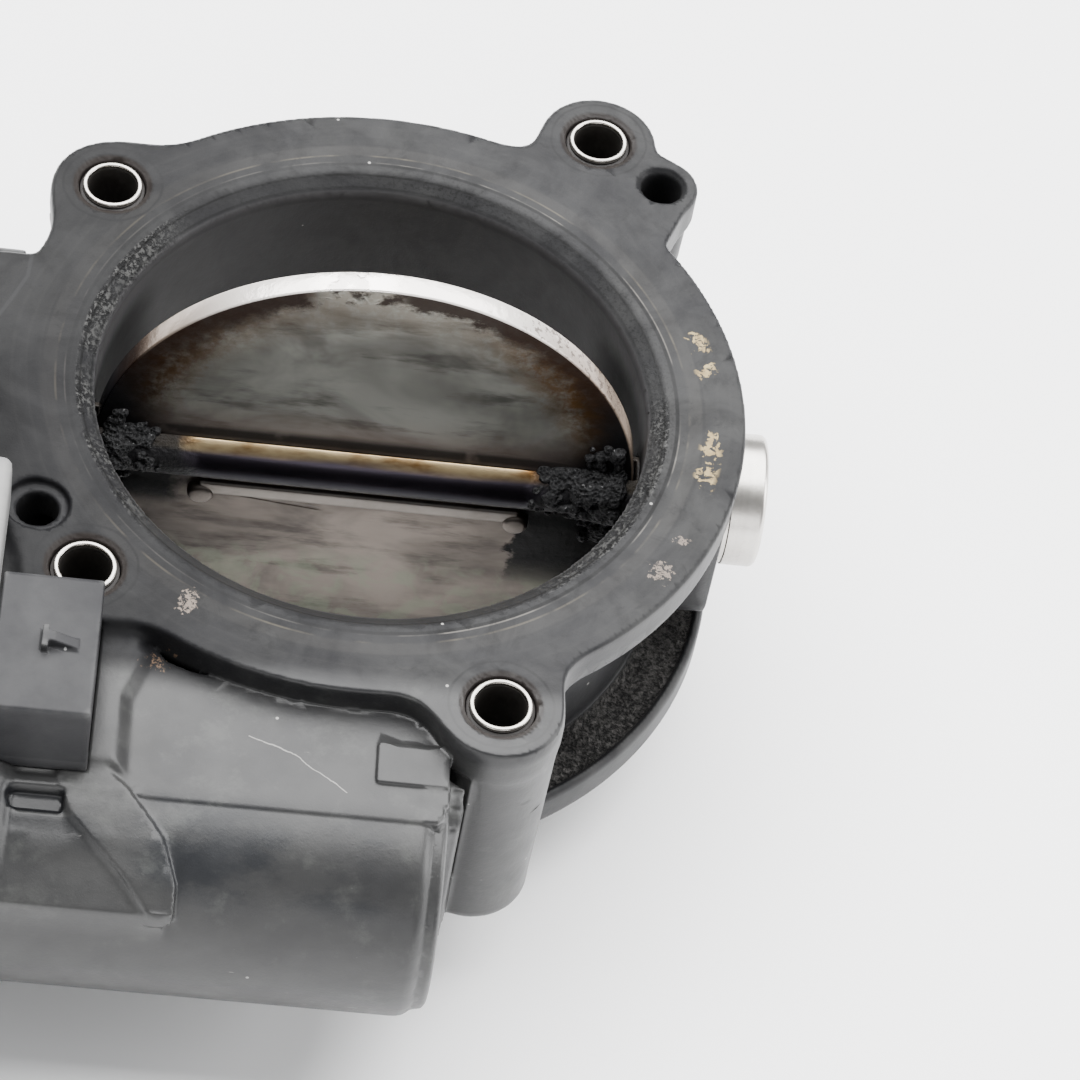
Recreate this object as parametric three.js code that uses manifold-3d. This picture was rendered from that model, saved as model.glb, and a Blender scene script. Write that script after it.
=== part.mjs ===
// Electric throttle body: a moulded housing with a round bore, a butterfly plate on a cross shaft,
// a two-stage gear train under a side cover, and a small DC motor in a barrel beside the bore.
// Millimetres, +Z up along the bore. While it is drawn, the zero point is the centre of the bore
// on the upper flange's face; at the end the whole group is shifted so that it stands on Z = 0.
import * as THREE from 'three';
import { mergeVertices } from 'three/addons/utils/BufferGeometryUtils.js';
import Module from 'manifold-3d';

const wasm = await Module();
wasm.setup();

// ---------------------------------------------------------------- driving dimensions
const GAP = 0.3;                  // clearance between neighbouring pieces
const THROAT_R = 35;              // bore
const WALL_R = 39.5;              // outside of the bore's wall
const FLANGE_R = 47.3;            // upper flange
const FLANGE_T = 5.5;
const BODY_H = 35.7;              // upper face to lower flange face
const BASE_R = 47.0;              // lower flange disc
const BASE_T = 5.5;
const SPIGOT_R = 38;              // pilot that enters the manifold
const SPIGOT_END = -50;
const SEAL_Z = -44.5;             // the spigot's O-ring
const BOLTS = [[-35.5, 30.2], [27.6, 47.2], [-33.5, -32.5], [17.5, -47.3]];
const LUG_R = 7.7;                // round lug about each bolt sleeve
const SLEEVE_R = 4.2;
const SLEEVE_BORE_R = 3.2;        // clears an M6 bolt
const SLEEVE_PROUD = 0.1;
const DOWEL = [36.2, 40.3];       // small boss beside the second lug
const DOWEL_BOSS_R = 4.4;
const DOWEL_BORE_R = 2.7;
const POCKET = [-40.1, -23.6];    // blind locating hole in the left web
const SHAFT_Z = -14.4;
const SHAFT_R = 4.1;
const PLATE_R = 34.6;
const PLATE_T = 3;
const MOTOR = [-59.3, -20.6];     // motor axis, as [y, z]
const BARREL_R = 16.8;
const BARREL_END = 12.3;
const MOTOR_R = 14.8;             // steel can
const DECK_Z = -3.8;              // flat top of the barrel
const PAN_FLOOR = -43;            // gear case, measured along X
const PAN_RIM = -50;
const RIM_PLATE_T = 1.8;
const SEAL_T = 0.8;
const COVER_FROM = PAN_RIM - SEAL_T - 2 * GAP;
const COVER_END = -66;
const COVER_WALL = 2.2;
const HOOD = { x: -43.3, y0: -62, y1: -23.5, z0: 0.3, z1: 9 };
const SHROUD = { x0: -42.7, x1: -30.8, y0: -60.5, y1: -40.5, z0: -3.4, z1: 8, wall: 1.8 };
const SCREWS = [[17.5, -6], [17.5, -24], [-14.5, -45.6], [-58.5, -44], [-80, -15], [-69.5, -1.5]];
const EAR_R = 3.8;
const EAR_T = 4.5;
const SCREW_R = 1.7;
const SCREW_HEAD_R = 3.2;

// gears: module and teeth give the pitch radii, and those give the intermediate axis
const PINION = { teeth: 12, module: 0.9, from: -61.2, to: -56.3 };
const LARGE = { teeth: 46, module: 0.9, from: -61.0, to: -56.5 };
const SMALL = { teeth: 14, module: 1.0, from: -56.5, to: -51.2 };
const SECTOR = { teeth: 56, module: 1.0, from: -55.7, to: -51.6 };
const SWEEP = 83;                 // degrees from open to closed
const SPREAD = 11;                // degrees of spare teeth at each end of the sector
const PRESSURE = THREE.MathUtils.degToRad(20);

// facets round a full turn
const ROUND = 56;
const SMOOTH = 32;
const PLAIN = 20;
const COARSE = 12;

const pitchRadius = (gear) => gear.teeth * gear.module / 2;
const DRIVE = pitchRadius(SMALL) + pitchRadius(SECTOR);
const REDUCE = pitchRadius(PINION) + pitchRadius(LARGE);
const INTERMEDIATE = idlerAxis([0, SHAFT_Z], MOTOR, DRIVE, REDUCE);

// looks: [colour, roughness, metalness]
const HOUSING = [0x4b4c4e, 0.6, 0.0];
const COVER = [0x77787a, 0.55, 0.0];
const STEEL = [0xb9b7b2, 0.32, 1.0];
const DARK_STEEL = [0x6f6d69, 0.42, 1.0];
const BRASS = [0xb08d4c, 0.35, 1.0];
const GEAR = [0xd8d2bd, 0.5, 0.0];
const RUBBER = [0x1c1c1d, 0.85, 0.0];
const COPPER = [0xa2603a, 0.4, 1.0];
const BOARD = [0x1f5a3a, 0.55, 0.0];
const FERRITE = [0x2b2b2e, 0.6, 0.2];

// ---------------------------------------------------------------- geometry helpers
const EX = new THREE.Vector3(1, 0, 0);
const EY = new THREE.Vector3(0, 1, 0);
const EZ = new THREE.Vector3(0, 0, 1);
const basis = (a, b, c) => new THREE.Matrix4().makeBasis(a, b, c);

// A section drawn in the first two axes is pushed along the third.
const PRISM_BASIS = { X: basis(EY, EZ, EX), Y: basis(EZ, EX, EY), Z: basis(EX, EY, EZ) };
// A profile [radius, distance] is turned about the middle axis.
const LATHE_BASIS = { X: basis(EZ, EX, EY), Y: basis(EX, EY, EZ), Z: basis(EY, EZ, EX) };

// The third axis of two circles that touch both given ones, on the lower side.
function idlerAxis(first, last, near, far) {
  const span = Math.hypot(last[0] - first[0], last[1] - first[1]);
  const along = (near * near - far * far + span * span) / (2 * span);
  const aside = Math.sqrt(near * near - along * along);
  const u = [(last[0] - first[0]) / span, (last[1] - first[1]) / span];
  return [first[0] + along * u[0] - aside * u[1], first[1] + along * u[1] + aside * u[0]];
}

function signedVolume(position, index) {
  const [a, b, c] = [new THREE.Vector3(), new THREE.Vector3(), new THREE.Vector3()];
  let sum = 0;
  for (let i = 0; i < index.length; i += 3) {
    a.fromBufferAttribute(position, index[i]);
    b.fromBufferAttribute(position, index[i + 1]);
    c.fromBufferAttribute(position, index[i + 2]);
    sum += a.dot(b.cross(c)) / 6;
  }
  return sum;
}

// Welds a geometry's shared corners, drops slivers and faces it outwards.
function solid(geometry) {
  const bare = geometry.clone();
  bare.deleteAttribute('normal');
  bare.deleteAttribute('uv');
  const welded = mergeVertices(bare, 1e-4);
  const all = welded.index.array;
  const kept = [];
  for (let i = 0; i < all.length; i += 3) {
    const [a, b, c] = [all[i], all[i + 1], all[i + 2]];
    if (a !== b && b !== c && c !== a) kept.push(a, b, c);
  }
  if (signedVolume(welded.attributes.position, kept) < 0) kept.reverse();
  const vertProperties = new Float32Array(welded.attributes.position.array);
  return new wasm.Manifold(new wasm.Mesh({ numProp: 3, vertProperties, triVerts: new Uint32Array(kept) }));
}

function toGeometry(body) {
  const mesh = body.getMesh();
  const geometry = new THREE.BufferGeometry();
  geometry.setAttribute('position', new THREE.BufferAttribute(mesh.vertProperties.slice(), 3));
  geometry.setIndex(new THREE.BufferAttribute(mesh.triVerts.slice(), 1));
  geometry.computeVertexNormals();
  return geometry;
}

const join = (bodies) => bodies.reduce((sum, body) => sum.add(body));
const cut = (body, tools) => tools.reduce((rest, tool) => rest.subtract(tool), body);

function prism(axis, shape, from, to) {
  const geometry = new THREE.ExtrudeGeometry(shape, { depth: to - from, bevelEnabled: false });
  geometry.translate(0, 0, from);
  return solid(geometry.applyMatrix4(PRISM_BASIS[axis]));
}

function turned(axis, [u, v], profile, segments = SMOOTH) {
  const points = profile.map(([radius, distance]) => new THREE.Vector2(radius, distance));
  const geometry = new THREE.LatheGeometry(points, segments);
  geometry.applyMatrix4(LATHE_BASIS[axis]);
  const shift = { X: [0, u, v], Y: [v, 0, u], Z: [u, v, 0] }[axis];
  return solid(geometry.translate(...shift));
}

const rod = (axis, centre, r, from, to, segments = SMOOTH) =>
  turned(axis, centre, [[0, from], [r, from], [r, to], [0, to]], segments);
const ring = (axis, centre, inner, outer, from, to, segments = SMOOTH) =>
  turned(axis, centre, [[inner, from], [outer, from], [outer, to], [inner, to], [inner, from]], segments);

function box(x0, x1, y0, y1, z0, z1) {
  const geometry = new THREE.BoxGeometry(x1 - x0, y1 - y0, z1 - z0);
  return solid(geometry.translate((x0 + x1) / 2, (y0 + y1) / 2, (z0 + z1) / 2));
}

function circlePoints([u, v], r, count = SMOOTH, start = 0, turn = 360) {
  const steps = turn === 360 ? count : count - 1;
  return Array.from({ length: count }, (_, i) => {
    const angle = THREE.MathUtils.degToRad(start + turn * i / steps);
    return [u + r * Math.cos(angle), v + r * Math.sin(angle)];
  });
}

const outline = (points) => new THREE.Shape(points.map(([u, v]) => new THREE.Vector2(u, v)));

// Convex outline around circles given as [u, v, r].
function wrap(circles, count = PLAIN) {
  const points = circles.flatMap(([u, v, r]) => circlePoints([u, v], r, count));
  points.sort((a, b) => a[0] - b[0] || a[1] - b[1]);
  const turn = (o, a, b) => (a[0] - o[0]) * (b[1] - o[1]) - (a[1] - o[1]) * (b[0] - o[0]);
  const chain = (list) => {
    const kept = [];
    for (const point of list) {
      while (kept.length > 1 && turn(kept.at(-2), kept.at(-1), point) <= 1e-6) kept.pop();
      kept.push(point);
    }
    return kept.slice(0, -1);
  };
  return outline([...chain(points), ...chain(points.slice().reverse())]);
}

// A rounded rectangle, its corners as short arcs.
function roundedBox(u0, u1, v0, v1, r) {
  const corners = [[u0 + r, v0 + r, r], [u1 - r, v0 + r, r], [u1 - r, v1 - r, r], [u0 + r, v1 - r, r]];
  return wrap(corners, 12);
}

// ---------------------------------------------------------------- gear teeth
// Half a tooth's angle at a radius, from the involute of the base circle, less the backlash.
function toothHalfAngle(gear, radius) {
  const pitch = pitchRadius(gear);
  const base = pitch * Math.cos(PRESSURE);
  const involute = (r) => {
    const angle = Math.acos(Math.min(1, base / Math.max(r, base)));
    return Math.tan(angle) - angle;
  };
  const backlash = 0.13 * gear.module / pitch;
  return Math.PI / (2 * gear.teeth) - backlash + involute(pitch) - involute(radius);
}

// One tooth's outline points about a direction, in radians.
function toothPoints(gear, [u, v], direction) {
  const pitch = pitchRadius(gear);
  const root = pitch - 1.25 * gear.module;
  const tip = pitch + 0.8 * gear.module;
  const start = Math.max(root, pitch * Math.cos(PRESSURE));
  const radii = [root, start, pitch, tip];
  const place = (r, angle) => [u + r * Math.cos(angle), v + r * Math.sin(angle)];
  const used = radii.filter((r, i) => i === 0 || r - radii[i - 1] > 0.05);
  const rising = used.map((r) => place(r, direction - toothHalfAngle(gear, r)));
  const falling = used.slice().reverse().map((r) => place(r, direction + toothHalfAngle(gear, r)));
  return [...rising, ...falling];
}

// All the teeth from one direction on; the first is centred on that direction.
function toothRow(gear, centre, direction, count) {
  const step = 2 * Math.PI / gear.teeth;
  return Array.from({ length: count }, (_, i) => toothPoints(gear, centre, direction + i * step)).flat();
}

const directionTo = (from, to) => Math.atan2(to[1] - from[1], to[0] - from[0]);

// ---------------------------------------------------------------- the gear case's outline
const SHAFT = [0, SHAFT_Z];
const SECTOR_ROOM = pitchRadius(SECTOR) + SECTOR.module + 1.0;
const MESH_ANGLE = THREE.MathUtils.radToDeg(directionTo(SHAFT, INTERMEDIATE)) + 360;

// Rooms about the shaft, the intermediate gear and the motor, grown by the wall.
function caseRooms(wall) {
  const shaft = [...SHAFT, 14.2 - COVER_WALL + wall];
  const idler = [...INTERMEDIATE, 22.2 + wall];
  const motor = [...MOTOR, 16 + wall];
  return wrap([shaft, idler, motor]);
}

// The fan that the sector sweeps, open at its centre and closed by the shaft's room.
function sweptFan(wall) {
  const spare = SPREAD + 8 + 4 * wall;
  const low = MESH_ANGLE - SWEEP - spare;
  const high = MESH_ANGLE + SWEEP + spare;
  const arc = circlePoints(SHAFT, SECTOR_ROOM + wall, 20, low, high - low);
  return outline([SHAFT, ...arc]);
}

function caseBlock(wall, from, to) {
  return prism('X', caseRooms(wall), from, to).add(prism('X', sweptFan(wall), from, to));
}

const screwEars = (from, to, grown = 0) => SCREWS.map((at) => {
  const inward = [at[0] * 0.8 + INTERMEDIATE[0] * 0.2, at[1] * 0.8 + INTERMEDIATE[1] * 0.2];
  return prism('X', wrap([[...at, EAR_R + grown], [...inward, EAR_R + 1 + grown]], COARSE), from, to);
});

// ---------------------------------------------------------------- housing
function lug([x, y]) {
  const inner = [x * 0.62, y * 0.62, 12];
  const top = prism('Z', wrap([[x, y, LUG_R], inner]), -FLANGE_T, 0);
  const column = turned('Z', [x, y], [[0, -BODY_H], [LUG_R - 1.3, -BODY_H], [LUG_R - 0.45, -BODY_H + 1],
    [LUG_R, 0], [0, 0]], PLAIN);
  const rib = prism('Z', wrap([[x, y, 2], [x * 0.7, y * 0.7, 2]], 8), -BODY_H + 2, -1);
  return join([top, column, rib]);
}

function baseDisc() {
  const disc = turned('Z', [0, 0], [[0, -BODY_H], [BASE_R - 0.8, -BODY_H], [BASE_R, -BODY_H + 1],
    [BASE_R, -BODY_H + BASE_T], [0, -BODY_H + BASE_T]], ROUND);
  const dish = ring('Z', [0, 0], WALL_R, BASE_R - 1.5, -BODY_H + BASE_T - 0.9, -BODY_H + BASE_T + 1, ROUND);
  return disc.subtract(dish);
}

function dowelBoss() {
  const [x, y] = DOWEL;
  const boss = rod('Z', DOWEL, DOWEL_BOSS_R, -13, 0, PLAIN);
  const toLug = wrap([[x, y, DOWEL_BOSS_R], [...BOLTS[1], DOWEL_BOSS_R]], COARSE);
  const toRing = wrap([[x, y, DOWEL_BOSS_R], [28, 32, 8]], COARSE);
  return join([boss, prism('Z', toLug, -FLANGE_T, 0), prism('Z', toRing, -FLANGE_T, 0)]);
}

function leftWeb() {
  const points = [[PAN_RIM, 17], [-36, 17], [-30, -8], [-34, -32], [-41, -32], [-45.5, -22], [PAN_RIM, -19]];
  return prism('Z', outline(points), -FLANGE_T, 0);
}

function barrel() {
  const shell = turned('X', MOTOR, [[0, PAN_FLOOR], [BARREL_R, PAN_FLOOR], [BARREL_R, BARREL_END - 3.5],
    [BARREL_R - 1, BARREL_END - 1.1], [BARREL_R - 3.2, BARREL_END], [0, BARREL_END]], SMOOTH);
  const notch = rod('Z', BOLTS[3], LUG_R + 1.9, -20, 1, PLAIN);
  const deck = box(PAN_FLOOR, BARREL_END - 0.4, -62.8, -44, -14, DECK_Z).subtract(notch);
  const pad = box(3.4, BARREL_END - 0.4, -58, -52.2, DECK_Z - 1, DECK_Z + 0.6).subtract(notch);
  const floor = box(PAN_FLOOR, 10, -58, -30, -21, -17);
  return join([shell, deck, pad, floor, ledge(), ledgeRib()]);
}

// The sloping ledge beside the plug, which starts at the barrel's tangent.
function ledge() {
  const plan = [[PAN_FLOOR, -58], [PAN_FLOOR, -74.9], [-20.6, -74.9], [-19.9, -72], [-21.9, -67.9],
    [-27, -61], [-29, -58]];
  const section = [[-58, -17], [-74.9, -17], [-74.9, -10.4], [-68, -6.2], [-58, -6.2]];
  return prism('Z', outline(plan), -17, -6.2).intersect(prism('X', outline(section), PAN_FLOOR, -19));
}

// The curved rib that bounds the ledge.
function ledgeRib() {
  const plan = [[-33.2, -61.3], [-29.1, -61], [-26.9, -62.1], [-24.6, -64.6], [-21.7, -67.9], [-19.9, -72],
    [-19.7, -74.9], [-21.6, -74.9], [-25.2, -70.9], [-29, -67.6], [-31.6, -65.2], [-32.9, -63]];
  const section = [[-61, -12], [-74.9, -12], [-74.9, -9.6], [-72, -7.6], [-68, -5.4], [-64.6, -4],
    [-61, -3.3]];
  return prism('Z', outline(plan), -12, -3).intersect(prism('X', outline(section), -34, -19));
}

const bearingBoss = () =>
  prism('X', roundedBox(-11.5, 11.5, SHAFT_Z - 11.5, SHAFT_Z + 9.5, 4), 30, 45.8);

function gearPan() {
  const deep = prism('X', caseRooms(COVER_WALL), PAN_RIM, PAN_FLOOR + 3.2);
  const plate = caseBlock(COVER_WALL, PAN_RIM, PAN_RIM + RIM_PLATE_T);
  return join([deep, plate, ...screwEars(PAN_RIM, PAN_RIM + EAR_T)]);
}

// Room for the plug's foot in the pan's upper edge.
function shroudSeat() {
  const { x0, x1, y0, y1, z0 } = SHROUD;
  return box(x0 - GAP, x1 + 1, y0 - GAP, y1 + GAP, z0 - GAP, 20);
}

function housingHoles() {
  const chamfer = turned('Z', [0, 0], [[0, -1.6], [THROAT_R, -1.6], [THROAT_R + 2.4, 0], [THROAT_R + 2.4, 1],
    [0, 1]], ROUND);
  const bearingSeat = 7.3;
  return [
    rod('Z', [0, 0], THROAT_R, SPIGOT_END - 1, 1, ROUND),
    chamfer,
    shroudSeat(),
    ring('Z', [0, 0], SPIGOT_R - 1.5, SPIGOT_R + 3, SEAL_Z - 1.5, SEAL_Z + 1.5, ROUND),
    ...BOLTS.map((at) => rod('Z', at, SLEEVE_R + GAP, -BODY_H - 1, 1, PLAIN)),
    rod('Z', DOWEL, DOWEL_BORE_R, -10, 1, COARSE),
    rod('Z', POCKET, 2.6, -8, 1, COARSE),
    rod('Z', POCKET, 3.9, -1.2, 1, COARSE),
    rod('X', MOTOR, MOTOR_R + GAP, PAN_FLOOR - 1, BARREL_END - 2.6, SMOOTH),
    rod('X', SHAFT, SHAFT_R + GAP, -60, 60, PLAIN),
    rod('X', SHAFT, bearingSeat, PAN_RIM - 1, -39.5, PLAIN),
    rod('X', SHAFT, bearingSeat, 36.4, 60, PLAIN),
    ...SCREWS.map((at) => rod('X', at, SCREW_R + GAP, PAN_RIM - 1, PAN_RIM + 3.8, COARSE)),
    rod('X', INTERMEDIATE, 2 + GAP, PAN_RIM - 1, PAN_FLOOR + 2, COARSE),
  ];
}

function housing() {
  const outside = join([
    rod('Z', [0, 0], WALL_R, -BODY_H, 0, ROUND),
    rod('Z', [0, 0], SPIGOT_R, SPIGOT_END, -BODY_H + 1, ROUND),
    turned('Z', [0, 0], [[0, -FLANGE_T], [FLANGE_R, -FLANGE_T], [FLANGE_R, -0.4], [FLANGE_R - 0.4, 0],
      [0, 0]], ROUND),
    baseDisc(), dowelBoss(), leftWeb(), barrel(), bearingBoss(), gearPan(), ...BOLTS.map(lug),
  ]);
  const panRoom = prism('X', caseRooms(0), PAN_RIM - 1, PAN_FLOOR - 0.1);
  const bearingHub = rod('X', SHAFT, 9.3, PAN_RIM + 1, PAN_FLOOR + 1, PLAIN);
  const idlerHub = rod('X', INTERMEDIATE, 5, PAN_RIM + 0.4, PAN_FLOOR + 1, COARSE);
  return cut(outside.subtract(panRoom).add(bearingHub).add(idlerHub), housingHoles());
}

// ---------------------------------------------------------------- cover and plug
function gearCover() {
  const ears = screwEars(COVER_FROM - 3.5, COVER_FROM);
  const shell = join([caseBlock(COVER_WALL, COVER_END, COVER_FROM), ...ears]);
  const room = caseBlock(0, COVER_END + COVER_WALL, COVER_FROM + 1);
  const { x, y0, y1, z0, z1 } = HOOD;
  const hood = prism('X', roundedBox(y0, y1, z0 - 6, z1, 3), COVER_END, COVER_FROM);
  const lip = cut(prism('X', roundedBox(y0, y1, z0, z1, 3), COVER_FROM - 1, x), [
    caseBlock(COVER_WALL + GAP, COVER_FROM, PAN_RIM + RIM_PLATE_T + GAP),
    ...screwEars(COVER_FROM, PAN_RIM + EAR_T + GAP, GAP),
  ]);
  const hoodRoom = box(COVER_END + COVER_WALL, -45.3, y0 + 2, y1 - 2, 2, z1 - 2);
  const down = box(COVER_END + COVER_WALL, COVER_FROM - 2, y0 + 2, y1 - 2, -12, 3);
  const bosses = [rod('X', INTERMEDIATE, 5, COVER_END + 1, -61.6, COARSE)];
  const holes = [
    ...SCREWS.map((at) => rod('X', at, SCREW_R + GAP, COVER_END - 1, COVER_FROM + 1, COARSE)),
    rod('X', INTERMEDIATE, 2 + GAP, -64, COVER_FROM, COARSE),
    ...pinPlaces().map(([y, z]) => box(COVER_FROM - 3, x + 1, y - 0.8, y + 0.8, z - 0.8, z + 0.8)),
    ...SCREWS.map((at) => rod('X', at, SCREW_HEAD_R + GAP, COVER_END - 1, COVER_FROM - 3.5, COARSE)),
  ];
  const hollow = cut(join([shell, hood, lip]), [room, hoodRoom, down]);
  return cut(hollow.add(join(bosses)), holes);
}

function coverSeal() {
  const from = PAN_RIM - GAP - SEAL_T;
  const to = PAN_RIM - GAP;
  return cut(caseBlock(COVER_WALL - 0.3, from, to), [caseBlock(0.4, from - 1, to + 1)]);
}

const pinPlaces = () => [0.4, 4.2].flatMap((z) => [-54.7, -50.5, -46.3].map((y) => [y, z]));

function plugShroud() {
  const { x0, x1, y0, y1, z0, z1, wall } = SHROUD;
  const block = prism('X', roundedBox(y0, y1, z0, z1, 0.8), x0, x1);
  const socket = prism('X', roundedBox(y0 + wall, y1 - wall, z0 + wall, z1 - wall, 1), x0 + 2.4, x1 + 1);
  const middle = (y0 + y1) / 2;
  const wedge = outline([[x1 - 6.6, z1 - 0.5], [x1 - 2.2, z1 - 0.5], [x1 - 2.2, z1 + 0.1],
    [x1 - 5.8, z1 + 1.5], [x1 - 6.6, z1 + 1.5]]);
  const latch = prism('Y', flipped(wedge), middle - 1.6, middle + 1.6);
  const holes = pinPlaces().map(([y, z]) => box(x0 - 1, x0 + 3, y - 0.8, y + 0.8, z - 0.8, z + 0.8));
  return cut(block.add(latch), [socket, ...holes]);
}

// Swaps a shape's two axes, for sections drawn as [x, z] and pushed along Y.
function flipped(shape) {
  return outline(shape.getPoints().map((point) => [point.y, point.x]).reverse());
}

const plugPin = ([y, z]) => box(-48.5, SHROUD.x1 - 5.4, y - 0.5, y + 0.5, z - 0.5, z + 0.5);

// ---------------------------------------------------------------- throttle group
function throttleShaft() {
  const shaft = rod('X', SHAFT, SHAFT_R, -58.6, 45.2, PLAIN);
  const slot = box(-THROAT_R + 0.2, THROAT_R - 0.2, -PLATE_T / 2 - GAP, PLATE_T / 2 + GAP,
    SHAFT_Z - 6, SHAFT_Z + 6);
  const groove = ring('X', SHAFT, SHAFT_R - 0.7, SHAFT_R + 1, 43.2, 44.2, PLAIN);
  const flat = box(-59, -51.2, 3.2, 6, SHAFT_Z - 6, SHAFT_Z + 6);
  return cut(shaft, [slot, groove, flat]);
}

const RIVETS = [-20.4, 20.4];
const RIVET_DROP = 6.9;
const STRIP_T = 0.9;
const STRIP_DROP = 6.8;           // lower edge of the strip below the shaft's axis

function throttlePlate() {
  const disc = turned('Y', [SHAFT_Z, 0], [[0, -PLATE_T / 2], [PLATE_R - 0.35, -PLATE_T / 2],
    [PLATE_R, -PLATE_T / 2 + 0.35], [PLATE_R, PLATE_T / 2 - 0.35], [PLATE_R - 0.35, PLATE_T / 2],
    [0, PLATE_T / 2]], ROUND);
  const strip = box(-21, 21, -PLATE_T / 2 - STRIP_T, 0, SHAFT_Z - STRIP_DROP, SHAFT_Z - SHAFT_R - GAP);
  const holes = RIVETS.map((x) => rod('Y', [SHAFT_Z - RIVET_DROP, x], 1.2, -4, 4, COARSE));
  return cut(disc.add(strip), holes);
}

function plateRivet(x) {
  const head = 1.8;
  const front = -PLATE_T / 2 - STRIP_T - GAP;
  const back = PLATE_T / 2 + GAP;
  return turned('Y', [SHAFT_Z - RIVET_DROP, x], [[0, front - 0.8], [head - 0.5, front - 0.8],
    [head, front - 0.3], [head, front], [0.9, front], [0.9, back], [head, back], [head - 0.3, back + 0.6],
    [0, back + 0.6]], COARSE);
}

// Teeth over the swept arc, and a plain hub round the rest.
function sectorGear() {
  const step = 2 * Math.PI / SECTOR.teeth;
  const mesh = directionTo(SHAFT, INTERMEDIATE);
  const spare = THREE.MathUtils.degToRad(SPREAD);
  const before = Math.floor(spare / step);
  const count = before + Math.ceil((THREE.MathUtils.degToRad(SWEEP) + spare) / step);
  const teeth = toothRow(SECTOR, SHAFT, mesh - before * step, count);
  const last = THREE.MathUtils.radToDeg(mesh + (count - before) * step);
  const first = THREE.MathUtils.radToDeg(mesh - before * step);
  const back = circlePoints(SHAFT, 10.5, 20, last + 8, first + 360 - last - 16);
  const web = prism('X', outline([...teeth, ...back]), SECTOR.from, SECTOR.to);
  const hub = rod('X', SHAFT, 9.5, -61.4, SECTOR.to, PLAIN);
  const middle = (first + last) / 2;
  const window = [...circlePoints(SHAFT, 22.5, 12, middle - 30, 60),
    ...circlePoints(SHAFT, 13.5, 8, middle + 26, -52)];
  const bore = rod('X', SHAFT, SHAFT_R + GAP, -58.9, -50, PLAIN);
  const magnetSeat = rod('X', SHAFT, 6.6, -62, -59.2, PLAIN);
  const lightening = prism('X', outline(window), SECTOR.from - 1, SECTOR.to + 1);
  return cut(web.add(hub), [bore, magnetSeat, lightening]);
}

const sensorMagnet = () => ring('X', SHAFT, 2.5, 6.3, -61.2, -59.5, PLAIN);

function retainingRing() {
  return cut(ring('X', SHAFT, SHAFT_R - 0.4, SHAFT_R + 1.6, 43.4, 44, PLAIN),
    [box(43, 45, -1.6, 1.6, SHAFT_Z, SHAFT_Z + 9)]);
}

// A wire coil with its first leg tucked into the pan and its last beside the sector.
function returnSpring() {
  const [turns, radius, wire] = [2.25, 10.65, 0.75];
  const path = new THREE.CatmullRomCurve3(Array.from({ length: 41 }, (_, i) => {
    const angle = turns * 2 * Math.PI * i / 40;
    const x = -44.4 - 4.9 * i / 40;
    return new THREE.Vector3(x, radius * Math.cos(angle), SHAFT_Z + radius * Math.sin(angle));
  }));
  const section = outline(circlePoints([0, 0], wire, 6));
  return solid(new THREE.ExtrudeGeometry(section, { steps: 54, extrudePath: path }));
}

// ---------------------------------------------------------------- gear train and motor
function intermediateGear() {
  const toPinion = directionTo(INTERMEDIATE, MOTOR);
  const toShaft = directionTo(INTERMEDIATE, SHAFT);
  const half = (gear) => Math.PI / gear.teeth;
  const largeTeeth = toothRow(LARGE, INTERMEDIATE, toPinion, LARGE.teeth);
  const large = prism('X', outline(largeTeeth), LARGE.from, LARGE.to);
  const small = prism('X', outline(toothRow(SMALL, INTERMEDIATE, toShaft + half(SMALL), SMALL.teeth)),
    SMALL.from, SMALL.to + GAP);
  return cut(large.add(small), [rod('X', INTERMEDIATE, 2 + GAP, -70, -40, COARSE)]);
}

function motorPinion() {
  const toLarge = directionTo(MOTOR, INTERMEDIATE);
  const first = toLarge + Math.PI / PINION.teeth;
  const teeth = prism('X', outline(toothRow(PINION, MOTOR, first, PINION.teeth)), PINION.from, PINION.to);
  return teeth.subtract(rod('X', MOTOR, 1.55 + GAP / 2, -70, -50, COARSE));
}

const motorShaft = () => rod('X', MOTOR, 1.5, -61.6, 5.5, COARSE);

function motorCan() {
  return turned('X', MOTOR, [[0, 8.2], [MOTOR_R - 1.5, 8.2], [MOTOR_R, 7.2], [MOTOR_R, -36.5],
    [MOTOR_R - 1, -36.5], [MOTOR_R - 1, 6.9], [0, 6.9]]);
}

function motorMagnet(start) {
  const arc = [...circlePoints(MOTOR, MOTOR_R - 1.3, 10, start, 120),
    ...circlePoints(MOTOR, MOTOR_R - 4, 10, start + 120, -120)];
  return prism('X', outline(arc), -26, 2);
}

// Five poles on a lamination stack, with the commutator at the gear end.
function motorArmature() {
  const poles = Array.from({ length: 5 }, (_, i) => {
    const angle = 72 * i;
    return outline([...circlePoints(MOTOR, 10.2, 6, angle - 30, 60),
      ...circlePoints(MOTOR, 5, 3, angle + 24, -48)]);
  });
  const stack = poles.map((shape) => prism('X', shape, -24, 0));
  const core = [rod('X', MOTOR, 5.6, -24, 0, COARSE), rod('X', MOTOR, 8.4, -25.5, -23.5, COARSE),
    rod('X', MOTOR, 8.4, -0.5, 1.5, COARSE), rod('X', MOTOR, 4.6, -33.5, -25, COARSE)];
  return cut(join([...stack, ...core]), [rod('X', MOTOR, 1.5 + GAP, -40, 10, COARSE)]);
}

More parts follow.
